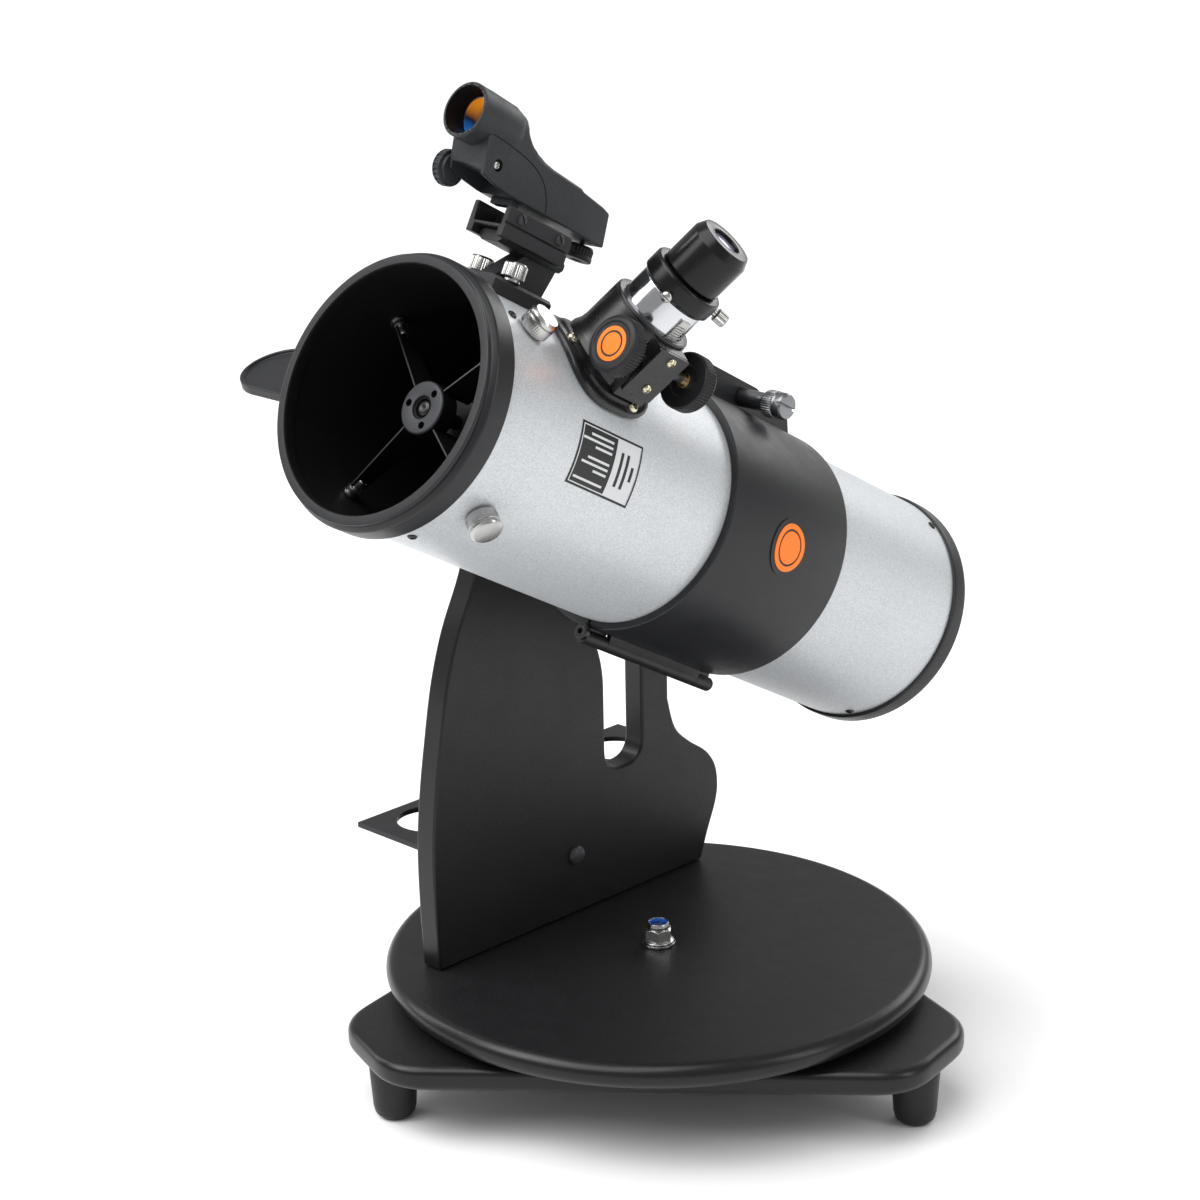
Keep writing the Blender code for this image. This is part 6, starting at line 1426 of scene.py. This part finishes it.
def side_dock():
    """The lipped plate on its saddle and thumb bolt, behind the front ring."""
    low, high = span("dock_bracket", ALT)
    seat = [(station(24.9), -15.0 * MM), (station(54.9), 15.0 * MM), (high.y, 15.0 * MM),
            (high.y, -15.0 * MM)]
    saddle = prism(soften(seat, 3.0 * MM, 4), low.x, -0.9 * TUBE_R, "X")
    saddle = carved(saddle, rod(TUBE_R + 0.2 * MM, -0.4, 0.1, 160, "Y"))
    piece("dock_saddle", saddle, MOULDED, ALT, "tube", ["dock_bracket"], 0.8)
    centre = (-TUBE_R - 48.0 * MM, station(35.5), 2.0 * MM)
    tilt = Matrix.Rotation(math.radians(45.0), 4, "X")
    outline = arc((0.0, 0.0), 23.5, 90, 270, 40) + [(38.0, -23.5), (38.0, 23.5)]
    plate = prism(scaled(outline), -4.0 * MM, 1.6 * MM)
    inner = arc((0.0, 0.0), 21.3, 90, 270, 40) + [(50.0, -21.3), (50.0, 21.3)]
    plate = carved(plate, prism(scaled(inner), 0.0, 4.0 * MM))
    piece("dock_lipped_plate", plate, MOULDED, ALT @ Matrix.Translation(centre) @ tilt, "tube",
          ["dock_paddle"], 0.7)
    low, high = span("dock_bolt", ALT)
    middle = (low + high) / 2
    end = low.x / MM
    face = end + 7.0
    bolt = spun([(0, high.x / MM), (2.4, high.x / MM), (2.4, face), (6.0, face), (6.0, face - 0.8),
                 (6.0, end + 1.2), (5.2, end), (0, end)], 32, "X", 0.3, (24, 0.4, end + 1.15, face - 0.75))
    piece("dock_thumb_bolt", bolt, STEEL, ALT @ Matrix.Translation((0.0, middle.y, middle.z)), "tube",
          ["dock_bolt"])


FLOOR_HALF = 12.0
WORLD_STRENGTH = 0.42
SUN_STRENGTH = 2.9
SUN_ANGLE_DEG = 60.0
SUN_DIRECTION = (0.15, 0.75, -1.5)
LIGHTS_CENTRE = Vector((0.0, 0.0, 0.3))
CAMERA_EYE = (1.19397, -1.25086, 0.79506)  # from the azimuth axis, as is the target
CAMERA_TARGET = (0.01295, -0.05918, 0.24304)
CAMERA_LENS = 90.88
CAMERA_ROLL_DEG = -1.086


def surroundings():
    """A white world, dim enough to leave the lamps their shadows."""
    world = bpy.data.worlds.new("studio")
    bpy.context.scene.world = world
    world.use_nodes = True
    world.node_tree.nodes["Background"].inputs["Color"].default_value = (1.0, 1.0, 1.0, 1.0)
    world.node_tree.nodes["Background"].inputs["Strength"].default_value = WORLD_STRENGTH


def floor():
    """A wide pale floor."""
    ground = bmesh.new()
    corners = [ground.verts.new((x * FLOOR_HALF, y * FLOOR_HALF, FLOOR_Z))
               for x, y in ((-1, -1), (1, -1), (1, 1), (-1, 1))]
    ground.faces.new(corners)
    data = bpy.data.meshes.new("floor")
    ground.to_mesh(data)
    ground.free()
    paper = Nodes("floor_paper")
    paper.link(paper.mixed(paper.ranged(paper.noise(3.0, 3.0), 0.0, 1.0), (0.90, 0.90, 0.905),
                           (0.93, 0.93, 0.93)),
               paper.shader.inputs["Base Color"])
    paper.shader.inputs["Roughness"].default_value = 0.55
    data.materials.append(paper.material)
    stage = bpy.data.objects.new("floor", data)
    bpy.context.scene.collection.objects.link(stage)


def lights():
    """A broad sun and four soft panels."""
    sun_lamp = bpy.data.lights.new("soft_sun", "SUN")
    sun_lamp.energy = SUN_STRENGTH
    sun_lamp.angle = math.radians(SUN_ANGLE_DEG)
    sun = bpy.data.objects.new("soft_sun", sun_lamp)
    bpy.context.scene.collection.objects.link(sun)
    sun.rotation_euler = Vector(SUN_DIRECTION).to_track_quat("-Z", "Y").to_euler()
    panels = (
        # name, direction and distance, width, height, power
        ("key", (-0.9, -1.5, 1.5), 0.9, 1.3, 13.0),
        ("right_strip", (1.9, 0.5, 0.9), 0.45, 1.5, 9.0),
        ("left_strip", (-1.8, -0.7, 0.8), 0.35, 1.5, 8.0),
        ("back_panel", (-0.1, 2.3, 1.0), 1.6, 0.8, 14.0),
    )
    for name, offset, width, height, power in panels:
        lamp = bpy.data.lights.new(name, "AREA")
        lamp.shape = "RECTANGLE"
        lamp.size = width
        lamp.size_y = height
        lamp.energy = power
        made = bpy.data.objects.new(name, lamp)
        bpy.context.scene.collection.objects.link(made)
        made.location = LIGHTS_CENTRE + Vector(offset)
        made.rotation_euler = (-Vector(offset)).to_track_quat("-Z", "Y").to_euler()


def camera():
    """The camera, above the front of the tube's near side."""
    camera_data = bpy.data.cameras.new("camera")
    camera_data.lens = CAMERA_LENS
    camera_data.sensor_width = 36.0
    camera_data.clip_end = 50.0
    made = bpy.data.objects.new("camera", camera_data)
    bpy.context.scene.collection.objects.link(made)
    eye = AZ.translation + Vector(CAMERA_EYE)
    target = AZ.translation + Vector(CAMERA_TARGET)
    look = (target - eye).to_track_quat("-Z", "Y").to_matrix().to_4x4()
    roll = Matrix.Rotation(math.radians(CAMERA_ROLL_DEG), 4, "Z")
    made.matrix_world = Matrix.Translation(eye) @ look @ roll
    bpy.context.scene.camera = made
    bpy.context.scene.view_settings.view_transform = "Standard"


BUILDERS = (ground_board, feet, turntable, lock_nut, pivot_bolt, side_arm, eyepiece_rack, altitude_knob,
            tube, front_ring, rear_ring, ring_screws, main_mirror, mirror_cell, collimation_screws,
            diagonal, spider, spider_vanes, spider_knobs,
            cradle, hinge, clamp_bolt, badge, label,
            focuser, focuser_screws, drawtube, eyepiece_collar, pinion, focus_knobs, eyepiece,
            finder_bracket, finder_clamp, finder_body, finder_window, finder_seams, finder_knobs,
            side_dock,
            surroundings, floor, lights, camera)

for build in BUILDERS:
    build()
